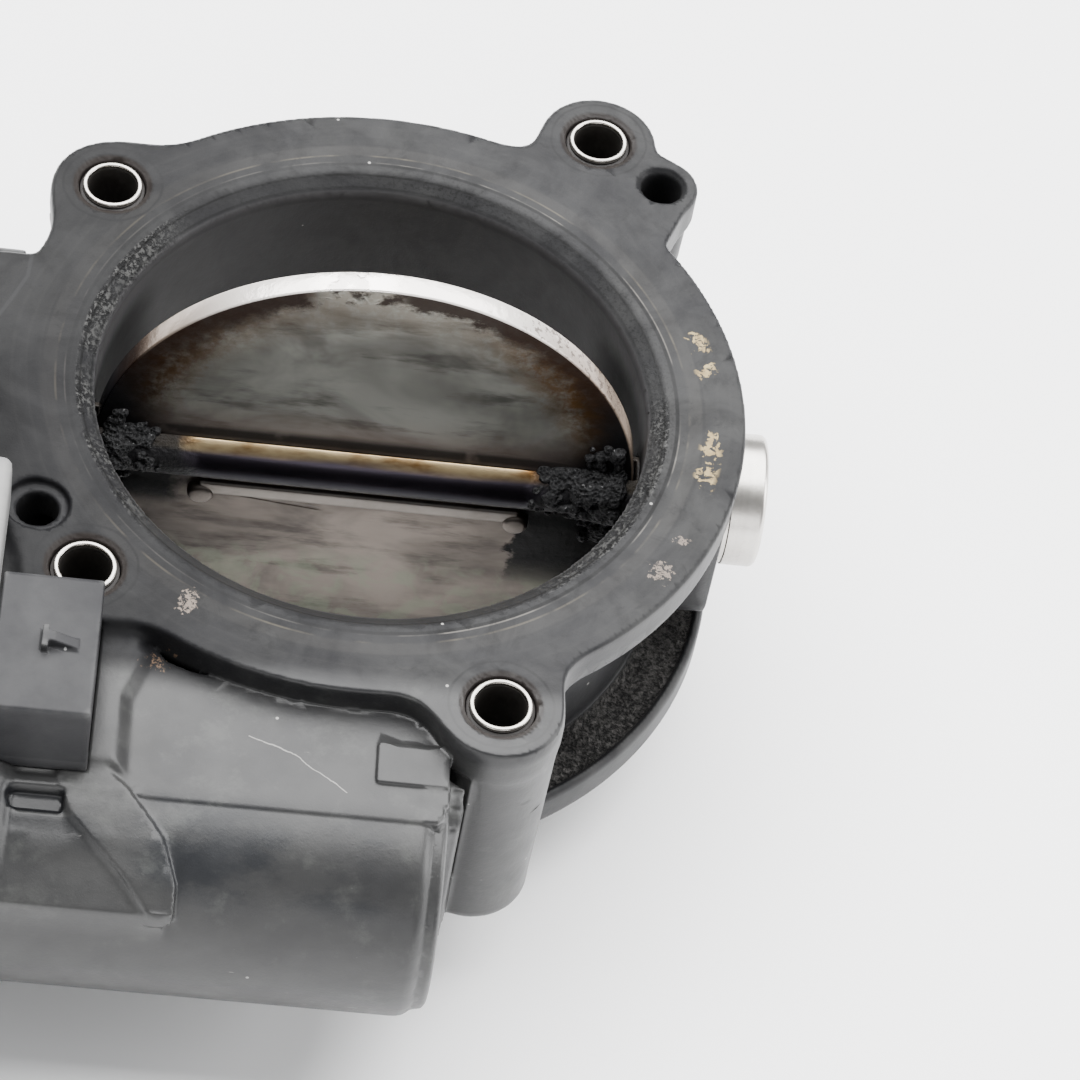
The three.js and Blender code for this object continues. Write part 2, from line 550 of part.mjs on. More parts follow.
function motorEndPlate() {
  const [y, z] = MOTOR;
  const plate = rod('X', MOTOR, MOTOR_R - 0.2, -42.4, -36.8, PLAIN);
  const ears = prism('X', wrap([[y - 12.6, z, 2.2], [y + 12.6, z, 2.2]], COARSE), -42.9, -41);
  const holes = [rod('X', MOTOR, 1.5 + GAP, -50, -30, COARSE),
    ring('X', MOTOR, 5.6, 11.5, -38, -36, PLAIN),
    ...[-12.2, 12.2].map((side) => rod('X', [y + side, z], 1.3, -50, -36, 10))];
  return cut(plate.add(ears), holes);
}

function motorScrew(side) {
  const [y, z] = [MOTOR[0] + side, MOTOR[1]];
  return turned('X', [y, z], [[0, -37.2], [1, -37.2], [1, -43.2], [2, -43.2], [2, -44.2], [1.4, -44.7],
    [0, -44.7]], 12);
}

function waveWasher() {
  const points = Array.from({ length: SMOOTH }, (_, i) => 2 * Math.PI * i / SMOOTH);
  const washer = ring('X', MOTOR, 9, 12.5, 8.5, 9.0, points.length);
  return washer.warp((vertex) => {
    const angle = Math.atan2(vertex[2] - MOTOR[1], vertex[1] - MOTOR[0]);
    vertex[0] += 0.12 * Math.cos(3 * angle) + 0.08;
  });
}

// ---------------------------------------------------------------- bearings, seals and fasteners
function bearing(from, to) {
  const [inner, outer] = [SHAFT_R + 0.1, 7.1];
  const race = 1.0;
  return turned('X', SHAFT, [[inner, from], [inner + race, from], [inner + race, from + 0.5],
    [outer - race, from + 0.5], [outer - race, from], [outer, from], [outer, to], [outer - race, to],
    [outer - race, to - 0.5], [inner + race, to - 0.5], [inner + race, to], [inner, to],
    [inner, from]], PLAIN);
}

function shaftSeal(from, to) {
  const [lip, outer] = [SHAFT_R + 0.12, 7.1];
  return turned('X', SHAFT, [[lip, from], [5.6, from], [5.6, from + 0.6], [outer, from + 0.6],
    [outer, to], [5, to], [lip, from + 0.8], [lip, from]], PLAIN);
}

function bearingCap() {
  return turned('X', SHAFT, [[0, 51.3], [7.9, 51.3], [8.55, 50.6], [8.55, 46.1], [7.2, 46.1], [7.2, 49.9],
    [0, 49.9]], PLAIN);
}

function boltSleeve(at) {
  const [r, hole] = [SLEEVE_R, SLEEVE_BORE_R];
  const [low, high] = [-BODY_H, SLEEVE_PROUD];
  return turned('Z', at, [[hole, low + 0.3], [hole + 0.3, low], [r - 0.2, low], [r, low + 0.3],
    [r, high - 0.3], [r - 0.2, high], [hole + 0.3, high], [hole, high - 0.3], [hole, low + 0.3]], PLAIN);
}

function coverScrew(at) {
  const seat = COVER_FROM - 3.5 - GAP;
  const socket = rod('X', at, 1.5, seat - 3, seat - 1.2, 6);
  const screw = turned('X', at, [[0, PAN_RIM + 3.2], [SCREW_R - 0.4, PAN_RIM + 3.2],
    [SCREW_R, PAN_RIM + 2.6], [SCREW_R, seat], [SCREW_HEAD_R, seat], [SCREW_HEAD_R, seat - 1.4],
    [2.6, seat - 2.1], [0, seat - 2.1]], COARSE);
  return screw.subtract(socket);
}

const spigotSeal = () => {
  const section = new THREE.EllipseCurve(SPIGOT_R - 0.05, SEAL_Z, 1.15, 1.15).getPoints(6);
  return turned('Z', [0, 0], section.map((point) => [point.x, point.y]), 40);
};

const intermediatePin = () => rod('X', INTERMEDIATE, 2, -63.6, PAN_FLOOR + 1.6, COARSE);

function sensorBoard() {
  const board = prism('X', roundedBox(-8, 8, SHAFT_Z - 8, SHAFT_Z + 8, 2), -63.4, -62.4);
  const chip = box(-62.5, -61.6, -3, 3, SHAFT_Z - 3, SHAFT_Z + 3);
  return board.add(chip);
}

// ---------------------------------------------------------------- assembly
const group = new THREE.Group();

function part(name, body, [color, roughness, metalness]) {
  const material = new THREE.MeshStandardMaterial({ color, roughness, metalness });
  const mesh = new THREE.Mesh(toGeometry(body), material);
  mesh.name = name;
  group.add(mesh);
}

part('housing', housing(), HOUSING);
part('gear_cover', gearCover(), COVER);
part('cover_seal', coverSeal(), RUBBER);
part('connector_shroud', plugShroud(), HOUSING);
pinPlaces().forEach((at, i) => part(`connector_pin_${i + 1}`, plugPin(at), BRASS));
SCREWS.forEach((at, i) => part(`cover_screw_${i + 1}`, coverScrew(at), DARK_STEEL));
BOLTS.forEach((at, i) => part(`bolt_sleeve_${i + 1}`, boltSleeve(at), STEEL));
part('spigot_seal', spigotSeal(), RUBBER);
part('bearing_cap', bearingCap(), STEEL);
part('gear_side_bearing', bearing(-47.6, -43.2), STEEL);
part('cap_side_bearing', bearing(38.6, 42.9), STEEL);
part('gear_side_seal', shaftSeal(-42.6, -39.9), RUBBER);
part('cap_side_seal', shaftSeal(36.6, 38.2), RUBBER);

part('throttle_shaft', throttleShaft(), DARK_STEEL);
part('throttle_plate', throttlePlate(), STEEL);
RIVETS.forEach((x, i) => part(`plate_rivet_${i + 1}`, plateRivet(x), STEEL));
part('sector_gear', sectorGear(), GEAR);
part('sensor_magnet', sensorMagnet(), FERRITE);
part('retaining_ring', retainingRing(), DARK_STEEL);
part('return_spring', returnSpring(), DARK_STEEL);
part('sensor_board', sensorBoard(), BOARD);

part('intermediate_gear', intermediateGear(), GEAR);
part('intermediate_pin', intermediatePin(), STEEL);

part('motor_can', motorCan(), DARK_STEEL);
part('motor_end_plate', motorEndPlate(), RUBBER);
part('motor_magnet_1', motorMagnet(-60), FERRITE);
part('motor_magnet_2', motorMagnet(120), FERRITE);
part('motor_armature', motorArmature(), COPPER);
part('motor_shaft', motorShaft(), STEEL);
part('motor_pinion', motorPinion(), BRASS);
part('motor_wave_washer', waveWasher(), STEEL);
[-12.2, 12.2].forEach((side, i) => part(`motor_screw_${i + 1}`, motorScrew(side), DARK_STEEL));

// The object stands on Z = 0 with its box centred on the origin.
const extent = new THREE.Box3().setFromObject(group);
const middle = extent.getCenter(new THREE.Vector3());
group.position.set(-middle.x, -middle.y, -extent.min.z);

export default group;
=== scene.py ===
"""Looks for the throttle body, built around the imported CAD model.

Shapes are sculpted as distance fields in millimetres, measured from the bore's centre on the upper
flange's face: X along the throttle shaft, Y away from the motor barrel, Z up along the bore.
"""

import math
from collections import namedtuple
from itertools import combinations

import bmesh
import bpy
import numpy as np
import openvdb as vdb
from mathutils import Matrix, Vector


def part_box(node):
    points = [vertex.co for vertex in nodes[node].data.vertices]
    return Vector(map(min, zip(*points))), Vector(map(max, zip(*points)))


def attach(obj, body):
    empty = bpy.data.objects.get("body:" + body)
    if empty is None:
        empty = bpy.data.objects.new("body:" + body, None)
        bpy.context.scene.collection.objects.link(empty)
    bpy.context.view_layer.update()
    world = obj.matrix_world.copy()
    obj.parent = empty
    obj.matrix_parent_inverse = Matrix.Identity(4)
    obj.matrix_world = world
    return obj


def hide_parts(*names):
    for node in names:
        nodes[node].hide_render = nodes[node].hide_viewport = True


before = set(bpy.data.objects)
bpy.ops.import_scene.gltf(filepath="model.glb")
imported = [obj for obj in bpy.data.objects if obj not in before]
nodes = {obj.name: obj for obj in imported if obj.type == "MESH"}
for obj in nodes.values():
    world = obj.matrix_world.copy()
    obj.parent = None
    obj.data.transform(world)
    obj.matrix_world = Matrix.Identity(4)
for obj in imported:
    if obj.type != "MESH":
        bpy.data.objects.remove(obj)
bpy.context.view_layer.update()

# ---------------------------------------------------------------- places, from the frame
MM = 0.001
SLEEVE_PROUD = 0.1
_seal_low, _seal_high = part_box("spigot_seal")
_bore = (_seal_low + _seal_high) / 2
BORE = Vector((_bore.x, _bore.y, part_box("bolt_sleeve_1")[1].z - SLEEVE_PROUD * MM))


def low_high(node):
    """A node's corners in mm from the bore's centre."""
    low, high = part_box(node)
    return (low - BORE) / MM, (high - BORE) / MM


def centre(node):
    low, high = low_high(node)
    return (low + high) / 2


BOLTS = [tuple(centre(f"bolt_sleeve_{i}"))[:2] for i in range(1, 5)]
SCREWS = [tuple(centre(f"cover_screw_{i}"))[1:] for i in range(1, 7)]
SHAFT_Z = centre("throttle_shaft").z
SHAFT = (0.0, SHAFT_Z)
MOTOR = tuple(centre("motor_shaft"))[1:]
IDLER = tuple(centre("intermediate_pin"))[1:]

# the bore, its two flanges and the spigot
THROAT_R = 35.0
WALL_R = 39.5
FLANGE_R = 47.3
FLANGE_T = 5.5
BODY_H = 35.7
BASE_R = 47.0
BASE_T = 5.5
SPIGOT_R = 38.0
SPIGOT_END = -50.0
SEAL_Z = -44.5

# the lugs; the sleeves stand as thin rings in the flange's face
LUG_R = 7.7
SLEEVE_R = 4.2
SLEEVE_BORE_R = 3.2
SLEEVE_NECK = 0.35
DOWEL = (36.2, 40.3)
POCKET = (-40.1, -23.6)

# shaft and plate; the journals are slimmer, to run clear of the bearings
SHAFT_R = 4.1
JOURNAL_GAP = 0.08
PLATE_R = 34.6
PLATE_T = 3.0
STRIP_T = 0.9
RIVET_X = 20.4
RIVET_DROP = 6.9

# the motor's barrel and the flat deck over it
BARREL_R = 16.8
BARREL_END = 12.3
DECK_Z = -3.8
CREASE_Y = -62.8
CAN_R = 14.8

# gear pan and cover, along X; angles in degrees
GAP = 0.3
PAN_FLOOR = -43.0
PAN_RIM = -50.0
COVER_FROM = -51.4
COVER_END = -66.0
CASE_WALL = 2.2
EAR_R = 3.8
EAR_T = 4.5
SECTOR_ROOM = 30.0
SWEEP = 83.0
SPREAD = 11.0

# the plug and the hood beside it
SHROUD_X = (-42.7, -30.8)
SHROUD_Y = (-60.5, -40.5)
SHROUD_Z = (-3.4, 8.0)
SHROUD_WALL = 1.8
HOOD_Y = (-62.0, -23.5)
HOOD_Z = (0.3, 9.0)
HOOD_X = -43.3
PIN_Y = (-54.7, -50.5, -46.3)
PIN_Z = (0.4, 4.2)

# ---------------------------------------------------------------- outlines and shapes
Outline = namedtuple("Outline", "distance low high")
Shape = namedtuple("Shape", "distance low high")
AXES = {"x": (1, 2, 0), "y": (0, 2, 1), "z": (0, 1, 2)}


def circle(at, r):
    u, v = at
    return Outline(lambda a, b: np.hypot(a - u, b - v) - r, (u - r, v - r), (u + r, v + r))


def rounded(du, dv, r):
    """The distance to the corner between two sides, rounded by r."""
    return np.minimum(np.maximum(du, dv), 0) + np.hypot(np.maximum(du, 0), np.maximum(dv, 0)) - r


def rectangle(u0, u1, v0, v1, r=0.0):
    def distance(a, b):
        du = np.abs(a - (u0 + u1) / 2) - (u1 - u0) / 2 + r
        dv = np.abs(b - (v0 + v1) / 2) - (v1 - v0) / 2 + r
        return rounded(du, dv, r)

    return Outline(distance, (u0, v0), (u1, v1))


def polygon(points, r=0.0):
    """A closed polygon, grown by r."""
    def distance(a, b):
        nearest = np.inf
        inside = False
        for (u0, v0), (u1, v1) in zip(points, points[1:] + points[:1]):
            eu, ev = u1 - u0, v1 - v0
            t = np.clip(((a - u0) * eu + (b - v0) * ev) / (eu * eu + ev * ev), 0, 1)
            nearest = np.minimum(nearest, (a - u0 - eu * t) ** 2 + (b - v0 - ev * t) ** 2)
            if ev:
                inside = inside ^ (((v0 > b) != (v1 > b)) & (a < eu * (b - v0) / ev + u0))
        return np.where(inside, -1, 1) * np.sqrt(nearest) - r

    us, vs = zip(*points)
    return Outline(distance, (min(us) - r, min(vs) - r), (max(us) + r, max(vs) + r))


def capsule(first, last):
    """Two circles (u, v, r) and the tangents between them."""
    u0, v0, r0 = first
    u1, v1, r1 = last
    span = math.hypot(u1 - u0, v1 - v0)
    eu, ev = (u1 - u0) / span, (v1 - v0) / span
    lean = (r0 - r1) / span
    side = math.sqrt(1 - lean * lean)

    def distance(a, b):
        along = (a - u0) * eu + (b - v0) * ev
        aside = np.abs((b - v0) * eu - (a - u0) * ev)
        k = along * side - aside * lean
        middle = aside * side + along * lean - r0
        low = np.hypot(aside, along) - r0
        high = np.hypot(aside, along - span) - r1
        return np.where(k < 0, low, np.where(k > side * span, high, middle))

    low = (min(u0 - r0, u1 - r1), min(v0 - r0, v1 - r1))
    return Outline(distance, low, (max(u0 + r0, u1 + r1), max(v0 + r0, v1 + r1)))


def smooth_min(a, b, soft):
    if soft <= 0:
        return np.minimum(a, b)
    h = np.maximum(soft - np.abs(a - b), 0) / soft
    return np.minimum(a, b) - h * h * soft / 4


def merged(outlines, soft=0.0):
    def distance(a, b):
        total = outlines[0].distance(a, b)
        for outline in outlines[1:]:
            total = smooth_min(total, outline.distance(a, b), soft)
        return total

    low = tuple(min(o.low[i] for o in outlines) for i in (0, 1))
    return Outline(distance, low, tuple(max(o.high[i] for o in outlines) for i in (0, 1)))


def hull(circles):
    """The outline wrapped round circles (u, v, r)."""
    pairs = [capsule(a, b) for a, b in combinations(circles, 2)]
    inner = [polygon([c[:2] for c in circles])] if len(circles) > 2 else []
    return merged(pairs + inner)


def prism(axis, outline, start, end, edge=0.0):
    """An outline pushed along an axis, its two rims rounded by edge."""
    iu, iv, iw = AXES[axis]

    def distance(*xyz):
        side = outline.distance(xyz[iu], xyz[iv]) + edge
        cap = np.abs(xyz[iw] - (start + end) / 2) - (end - start) / 2 + edge
        return rounded(side, cap, edge)

    low, high = [0, 0, 0], [0, 0, 0]
    low[iu], low[iv], low[iw] = *outline.low, start
    high[iu], high[iv], high[iw] = *outline.high, end
    return Shape(distance, low, high)


def cylinder(axis, at, r, start, end, edge=0.0):
    return prism(axis, circle(at, r), start, end, edge)


def tube(axis, at, inner, outer, start, end, edge=0.0):
    def distance(a, b):
        return np.abs(np.hypot(a - at[0], b - at[1]) - (inner + outer) / 2) - (outer - inner) / 2

    return prism(axis, Outline(distance, *circle(at, outer)[1:]), start, end, edge)


def block(x0, x1, y0, y1, z0, z1, corner=0.0, edge=0.0):
    return prism("z", rectangle(x0, x1, y0, y1, corner), z0, z1, edge)


def cone(at, low_r, high_r, start, end, edge=0.0):
    """A round post along Z whose radius changes evenly."""
    def distance(x, y, z):
        r = low_r + (high_r - low_r) * (z - start) / (end - start)
        side = np.hypot(x - at[0], y - at[1]) - r + edge
        cap = np.abs(z - (start + end) / 2) - (end - start) / 2 + edge
        return rounded(side, cap, edge)

    r = max(low_r, high_r)
    return Shape(distance, (at[0] - r, at[1] - r, start), (at[0] + r, at[1] + r, end))


class Sculpture:
    """A closed body as distances on a grid, in mm; negative is inside."""

    FAR = 40.0              # the distance outside everything
    MARGIN = 2.2
    EDGE_REACH = 1.3

    def __init__(self, low, high, step):
        self.step = step
        self.low = np.array(low, np.float32)
        counts = np.ceil((np.array(high) - self.low) / step).astype(int) + 1
        self.axes = [self.low[i] + step * np.arange(counts[i], dtype=np.float32) for i in range(3)]
        self.field = np.full(counts, self.FAR, np.float32)

    def window(self, shape, soft):
        spread = self.MARGIN + soft
        cuts = [slice(*np.searchsorted(axis, (low - spread, high + spread)))
                for axis, low, high in zip(self.axes, shape.low, shape.high)]
        return tuple(cuts), np.ix_(*(axis[cut] for axis, cut in zip(self.axes, cuts)))

    def add(self, *shapes, soft=0.0):
        for shape in shapes:
            cuts, xyz = self.window(shape, soft)
            self.field[cuts] = smooth_min(self.field[cuts], shape.distance(*xyz), soft)
        return self

    def cut(self, *shapes, soft=0.0):
        for shape in shapes:
            cuts, xyz = self.window(shape, soft)
            self.field[cuts] = -smooth_min(-self.field[cuts], shape.distance(*xyz), soft)
        return self

    def within(self, node):
        """Trims the body to its CAD node's box."""
        low, high = low_high(node)
        x, y, z = np.ix_(*self.axes)
        for values, start, end in ((x, low.x, high.x), (y, low.y, high.y), (z, low.z, high.z)):
            self.field = np.maximum(self.field, np.maximum(start - values, values - end).astype(np.float32))
        return self

    def sample(self, points):
        """The field at points, between the grid's values."""
        at = (points - self.low) / self.step
        base = np.clip(np.floor(at).astype(int), 0, np.array(self.field.shape) - 2)
        t = (at - base).astype(np.float32)
        total = 0
        for corner in range(8):
            offset = np.array([corner >> 2 & 1, corner >> 1 & 1, corner & 1])
            weight = np.prod(np.where(offset, t, 1 - t), axis=1)
            total = total + weight * self.field[tuple((base + offset).T)]
        return total

    def normals(self, points):
        half = 0.6 * self.step
        sides = [self.sample(points + half * e) - self.sample(points - half * e) for e in np.eye(3)]
        normal = np.stack(sides, 1)
        return normal / np.maximum(np.linalg.norm(normal, axis=1, keepdims=True), 1e-6)

    def convexity(self, points, reach):
        """Above 0 on outer edges, below 0 in inner corners, 0 on flats."""
        directions = [np.array(d) / math.sqrt(sum(c * c for c in d))
                      for d in np.ndindex(3, 3, 3) for d in [tuple(c - 1 for c in d)] if any(d)]
        mean = sum(np.clip(self.sample(points + reach * d), -reach, reach) for d in directions)
        return mean / (len(directions) * reach)

    def mesh(self, name, adaptivity=0.0):
        grid = vdb.FloatGrid(self.FAR)
        grid.copyFromArray(self.field)
        points, triangles, quads = grid.convertToPolygons(0.0, adaptivity)
        points = self.low + points * self.step
        faces = quads.tolist() + triangles.tolist()
        data = bpy.data.meshes.new(name)
        data.from_pydata((np.array(BORE) + points * MM).tolist(), [], faces)
        data.polygons.foreach_set("use_smooth", np.ones(len(faces), bool))
        data.normals_split_custom_set_from_vertices(self.normals(points).tolist())
        edge = data.attributes.new("convexity", "FLOAT", "POINT")
        edge.data.foreach_set("value", self.convexity(points, self.EDGE_REACH).astype(np.float32))
        obj = bpy.data.objects.new(name, data)
        bpy.context.scene.collection.objects.link(obj)
        print(f"{name}: {len(faces)} faces, {len(points)} points")
        return obj


# ---------------------------------------------------------------- the gear case
def mesh_direction():
    """The angle at which the double gear lies from the shaft."""
    return math.atan2(IDLER[1] - SHAFT_Z, IDLER[0])


def case_rooms(wall):
    """The outline wrapped round the shaft's, double gear's and motor's rooms, grown by wall."""
    return hull([(*SHAFT, 14.2 - CASE_WALL + wall), (*IDLER, 22.2 + wall), (*MOTOR, 16 + wall)])


def swept_fan(wall):
    """The sector's room: a pie about the shaft, wider than a half circle."""
    spare = math.radians(SWEEP + SPREAD + 8 + 4 * wall)
    low, high = mesh_direction() - spare, mesh_direction() + spare
    r = SECTOR_ROOM + wall

    def distance(a, b):
        u, v = a - SHAFT[0], b - SHAFT[1]
        first = math.sin(low) * u - math.cos(low) * v
        last = math.cos(high) * v - math.sin(high) * u
        return np.maximum(np.hypot(u, v) - r, np.minimum(first, last))

    return Outline(distance, *circle(SHAFT, r)[1:])


def case_outline(wall):
    return merged([case_rooms(wall), swept_fan(wall)])


def screw_ears(start, end, grown=0.0, edge=0.0):
    """A lug for each cover screw, reaching in to the case."""
    ears = []
    for at in SCREWS:
        inward = [at[i] * 0.8 + IDLER[i] * 0.2 for i in (0, 1)]
        ear = capsule((*at, EAR_R + grown), (*inward, EAR_R + 1 + grown))
        ears.append(prism("x", ear, start, end, edge))
    return ears


# ---------------------------------------------------------------- housing
def flange_outline():
    lugs = [circle(at, LUG_R) for at in BOLTS]
    web = polygon([(-48.5, 15.5), (-36, 15.5), (-30, -8), (-34, -30.5), (-40.5, -30.5), (-44.5, -21.5),
                   (-48.5, -18)], 1.5)
    dowel = merged([capsule((*DOWEL, 4.4), (*BOLTS[1], 4.4)), capsule((*DOWEL, 4.4), (29, 32, 8))], 1.5)
    return merged([merged([circle((0, 0), FLANGE_R), *lugs], 7.0), dowel, web], 1.0)


def add_body(s):
    """The bore's wall, the two flanges, the spigot, the lugs and the dowel's boss."""
    s.add(cylinder("z", (0, 0), WALL_R, -BODY_H, -1))
    s.add(cylinder("z", (0, 0), BASE_R, -BODY_H, -BODY_H + BASE_T, 1.0), soft=1.2)
    s.cut(tube("z", (0, 0), WALL_R + 0.8, BASE_R - 1.3, -BODY_H + BASE_T - 0.9, -BODY_H + BASE_T + 2, 0.4),
          soft=0.6)
    s.add(cylinder("z", (0, 0), SPIGOT_R, SPIGOT_END, -BODY_H + 1, 0.7))
    for at in BOLTS:
        s.add(cone(at, 7.2, LUG_R, -BODY_H + 0.05, -0.5, 1.3), soft=2.2)
    s.add(cone(DOWEL, 4.1, 4.4, -13, -0.5, 0.5), soft=1.0)
    s.add(prism("z", capsule((*DOWEL, 2.5), (31, 34, 3.5)), -12.5, -1), soft=1.0)
    s.add(prism("z", flange_outline(), -FLANGE_T, 0, 0.45), soft=0.8)


def add_barrel(s):
    """The motor's barrel, the deck over it and the webs to the fourth lug."""
    s.add(cylinder("x", MOTOR, BARREL_R, PAN_FLOOR, BARREL_END - 1.3, 2.4))
    s.add(cylinder("x", MOTOR, BARREL_R - 1.1, BARREL_END - 6, BARREL_END, 0.9))
    s.add(cylinder("x", MOTOR, 4.5, BARREL_END - 3, BARREL_END - 0.02, 0.3))
    deck = [(-45, CREASE_Y), (10.9, CREASE_Y), (11.8, -61.5), (11.8, -52), (10.2, -48), (6.5, -45.6),
            (-3, -45.4), (-12, -45.0), (-19.5, -43.8), (-22.6, -42.6), (-25, -39.6), (-27.5, -37.0),
            (-45, -37)]
    s.add(prism("z", polygon(deck), -15, DECK_Z, 0.45))
    saddle = [(-45, -60), (-26.5, -60), (-26.8, -49.5), (-24.5, -43), (-27.5, -37.5), (-45, -37)]
    s.add(prism("z", polygon(saddle, -0.5), -12, DECK_Z + 1.5, 1.2), soft=2.4)
    s.add(block(3.3, 12.05, -57.9, -51.9, DECK_Z - 1, DECK_Z + 0.55, 0.3, 0.15))
    s.add(block(9.0, 12.25, -60.2, -57.0, DECK_Z - 1, DECK_Z + 0.1, 0.3, 0.1), soft=0.4)
    s.add(block(-42, 8, -57, -34, -21, -17, 1, 0.6), soft=1.5)
    for sides in ((9.5, 14.6, -56.5, -53.0, -35, -5.6), (9.0, 15.6, -52.5, -49.6, -27, -6.4),
                  (9.0, 14.0, -60, -56, -33, -9)):
        s.add(block(*sides, 0.8, 0.7), soft=1.3)
    s.cut(prism("z", half_ring(BOLTS[3], LUG_R, LUG_R + 1.6), -26, -FLANGE_T), soft=0.5)
    s.add(cone(BOLTS[3], 7.2, LUG_R, -BODY_H + 0.05, -0.5, 1.3), soft=0.5)


def half_ring(at, inner, outer):
    """The stretch of a ring that lies on the barrel's side of the fourth lug."""
    def distance(a, b):
        r = np.abs(np.hypot(a - at[0], b - at[1]) - (inner + outer) / 2) - (outer - inner) / 2
        return np.maximum(r, (a - at[0]) + 3.0)

    return Outline(distance, *circle(at, outer)[1:])


def slope(points):
    """A height that runs straight between (y, z) points."""
    ys, zs = zip(*sorted(points))
    return lambda y: np.interp(y, ys, zs)


def under(outline, bottom, height):
    """The body over an outline in plan, up to a height that varies with y."""
    def distance(x, y, z):
        above = (z - height(y)) * 0.86
        return np.maximum(np.maximum(outline.distance(x, y), above), bottom - z) + 0 * z

    return Shape(distance, (*outline.low, bottom), (*outline.high, DECK_Z + 1.5))


def add_ledge(s):
    """The sloping wing in front of the plug, with its curved crest."""
    wing = [(PAN_FLOOR - 1, -60), (PAN_FLOOR - 1, -74.7), (-20.6, -74.7), (-19.9, -72), (-21.9, -67.9),
            (-26, -62)]
    floor = slope([(-75, -10.4), (-68, -6.15), (-60, -6.15)])
    s.add(under(polygon(wing, 0.4), -17, floor), soft=0.5)
    crest = [(-33.4, -61.3), (-29.1, -60.7), (-26.9, -62.1), (-24.6, -64.6), (-21.7, -67.9), (-19.9, -72),
             (-19.7, -74.7), (-21.6, -74.7), (-25.2, -70.9), (-29.0, -67.6), (-31.6, -65.2), (-32.9, -63)]
    top = slope([(-75, -9.5), (-72, -7.5), (-68, -5.3), (-64.6, -3.9), (-62.3, -3.15), (-60.5, -3.1)])
    s.add(under(polygon(crest, 0.7), -12, top), soft=0.9)
    s.add(block(PAN_FLOOR - 1, -33.6, -62.9, -61.3, -12, DECK_Z + 0.35, 0.3, 0.3), soft=0.3)
    slot = rectangle(PAN_FLOOR + 0.3, -33.1, -65.3, -63.1, 0.3)
    s.cut(Shape(lambda x, y, z: np.maximum(slot.distance(x, y), shell_depth(y, z)),
                (*slot.low, -9), (*slot.high, 0)), soft=0.3)


def shell_depth(y, z):
    """Below 0 anywhere above 0.9 mm under the barrel's surface."""
    return (BARREL_R - 0.9) - np.hypot(y - MOTOR[0], z - MOTOR[1])


def add_gear_pan(s):
    """The pan behind the cover, with the shaft's and the double gear's bosses."""
    s.add(prism("x", case_rooms(CASE_WALL), PAN_RIM, PAN_FLOOR + 3.2, 1.2), soft=1.5)
    s.add(prism("x", case_outline(CASE_WALL), PAN_RIM, PAN_RIM + 1.8, 0.3), soft=0.8)
    s.add(*screw_ears(PAN_RIM, PAN_RIM + EAR_T, 0, 0.4), soft=0.8)
    s.cut(prism("x", case_rooms(0), PAN_RIM - 2, PAN_FLOOR - 0.1, 0.3))
    s.add(cylinder("x", SHAFT, 9.3, PAN_RIM + 1, PAN_FLOOR + 1, 0.3))
    s.add(cylinder("x", IDLER, 5, PAN_RIM + 0.4, PAN_FLOOR + 1, 0.3))


def cut_holes(s):
    """The bore, the O-ring's groove, and the holes for screws, dowel, motor, shaft and plug."""
    s.cut(cylinder("z", (0, 0), THROAT_R, SPIGOT_END - 2, 2))
    s.cut(cone((0, 0), THROAT_R - 0.1, THROAT_R + 3.4, -1.6, 0.7))
    s.cut(tube("z", (0, 0), SPIGOT_R - 1.5, SPIGOT_R + 3, SEAL_Z - 1.5, SEAL_Z + 1.5, 0.2))
    for at in BOLTS:
        s.cut(cylinder("z", at, SLEEVE_R + 0.12, -BODY_H - 2, 2))
        s.cut(cylinder("z", at, SLEEVE_R + 0.75, -0.28, 2, 0.1), soft=0.15)
    s.cut(cylinder("z", DOWEL, 2.7, -10, 2), cylinder("z", DOWEL, 3.1, -0.5, 2, 0.2), soft=0.2)
    s.cut(cylinder("z", POCKET, 2.6, -8, 2), cylinder("z", POCKET, 3.9, -1.0, 2, 0.3), soft=0.3)
    s.cut(cylinder("x", MOTOR, CAN_R + 0.2, PAN_FLOOR - 2, BARREL_END - 2.6, 0.3))
    s.cut(cylinder("x", SHAFT, SHAFT_R + 0.25, -60, 60))
    s.cut(cylinder("x", SHAFT, 7.25, PAN_RIM - 2, -39.5), cylinder("x", SHAFT, 7.25, 36.4, 60))
    s.cut(cylinder("x", IDLER, 2.2, PAN_RIM - 2, PAN_FLOOR + 2))
    for at in SCREWS:
        s.cut(cylinder("x", at, 1.9, PAN_RIM - 2, PAN_RIM + 3.8))
    s.cut(block(SHROUD_X[0] - GAP, SHROUD_X[1] + 0.02, SHROUD_Y[0] - 0.02, SHROUD_Y[1] + GAP,
                SHROUD_Z[0] - 0.02, 20))


def sculpt_housing(step):
    s = Sculpture((-52, -85.5, -52), (57, 57, 20), step)
    add_body(s)
    boss = prism("x", rectangle(-11.5, 11.5, SHAFT_Z - 11.5, SHAFT_Z + 9.5, 3), 30, 45.8, 0.6)
    s.add(boss, soft=0.6)
    s.add(cylinder("x", SHAFT, 9.4, 40, 46.0, 0.5), soft=0.8)
    add_barrel(s)
    add_ledge(s)
    add_gear_pan(s)
    cut_holes(s)
    return s.within("housing")


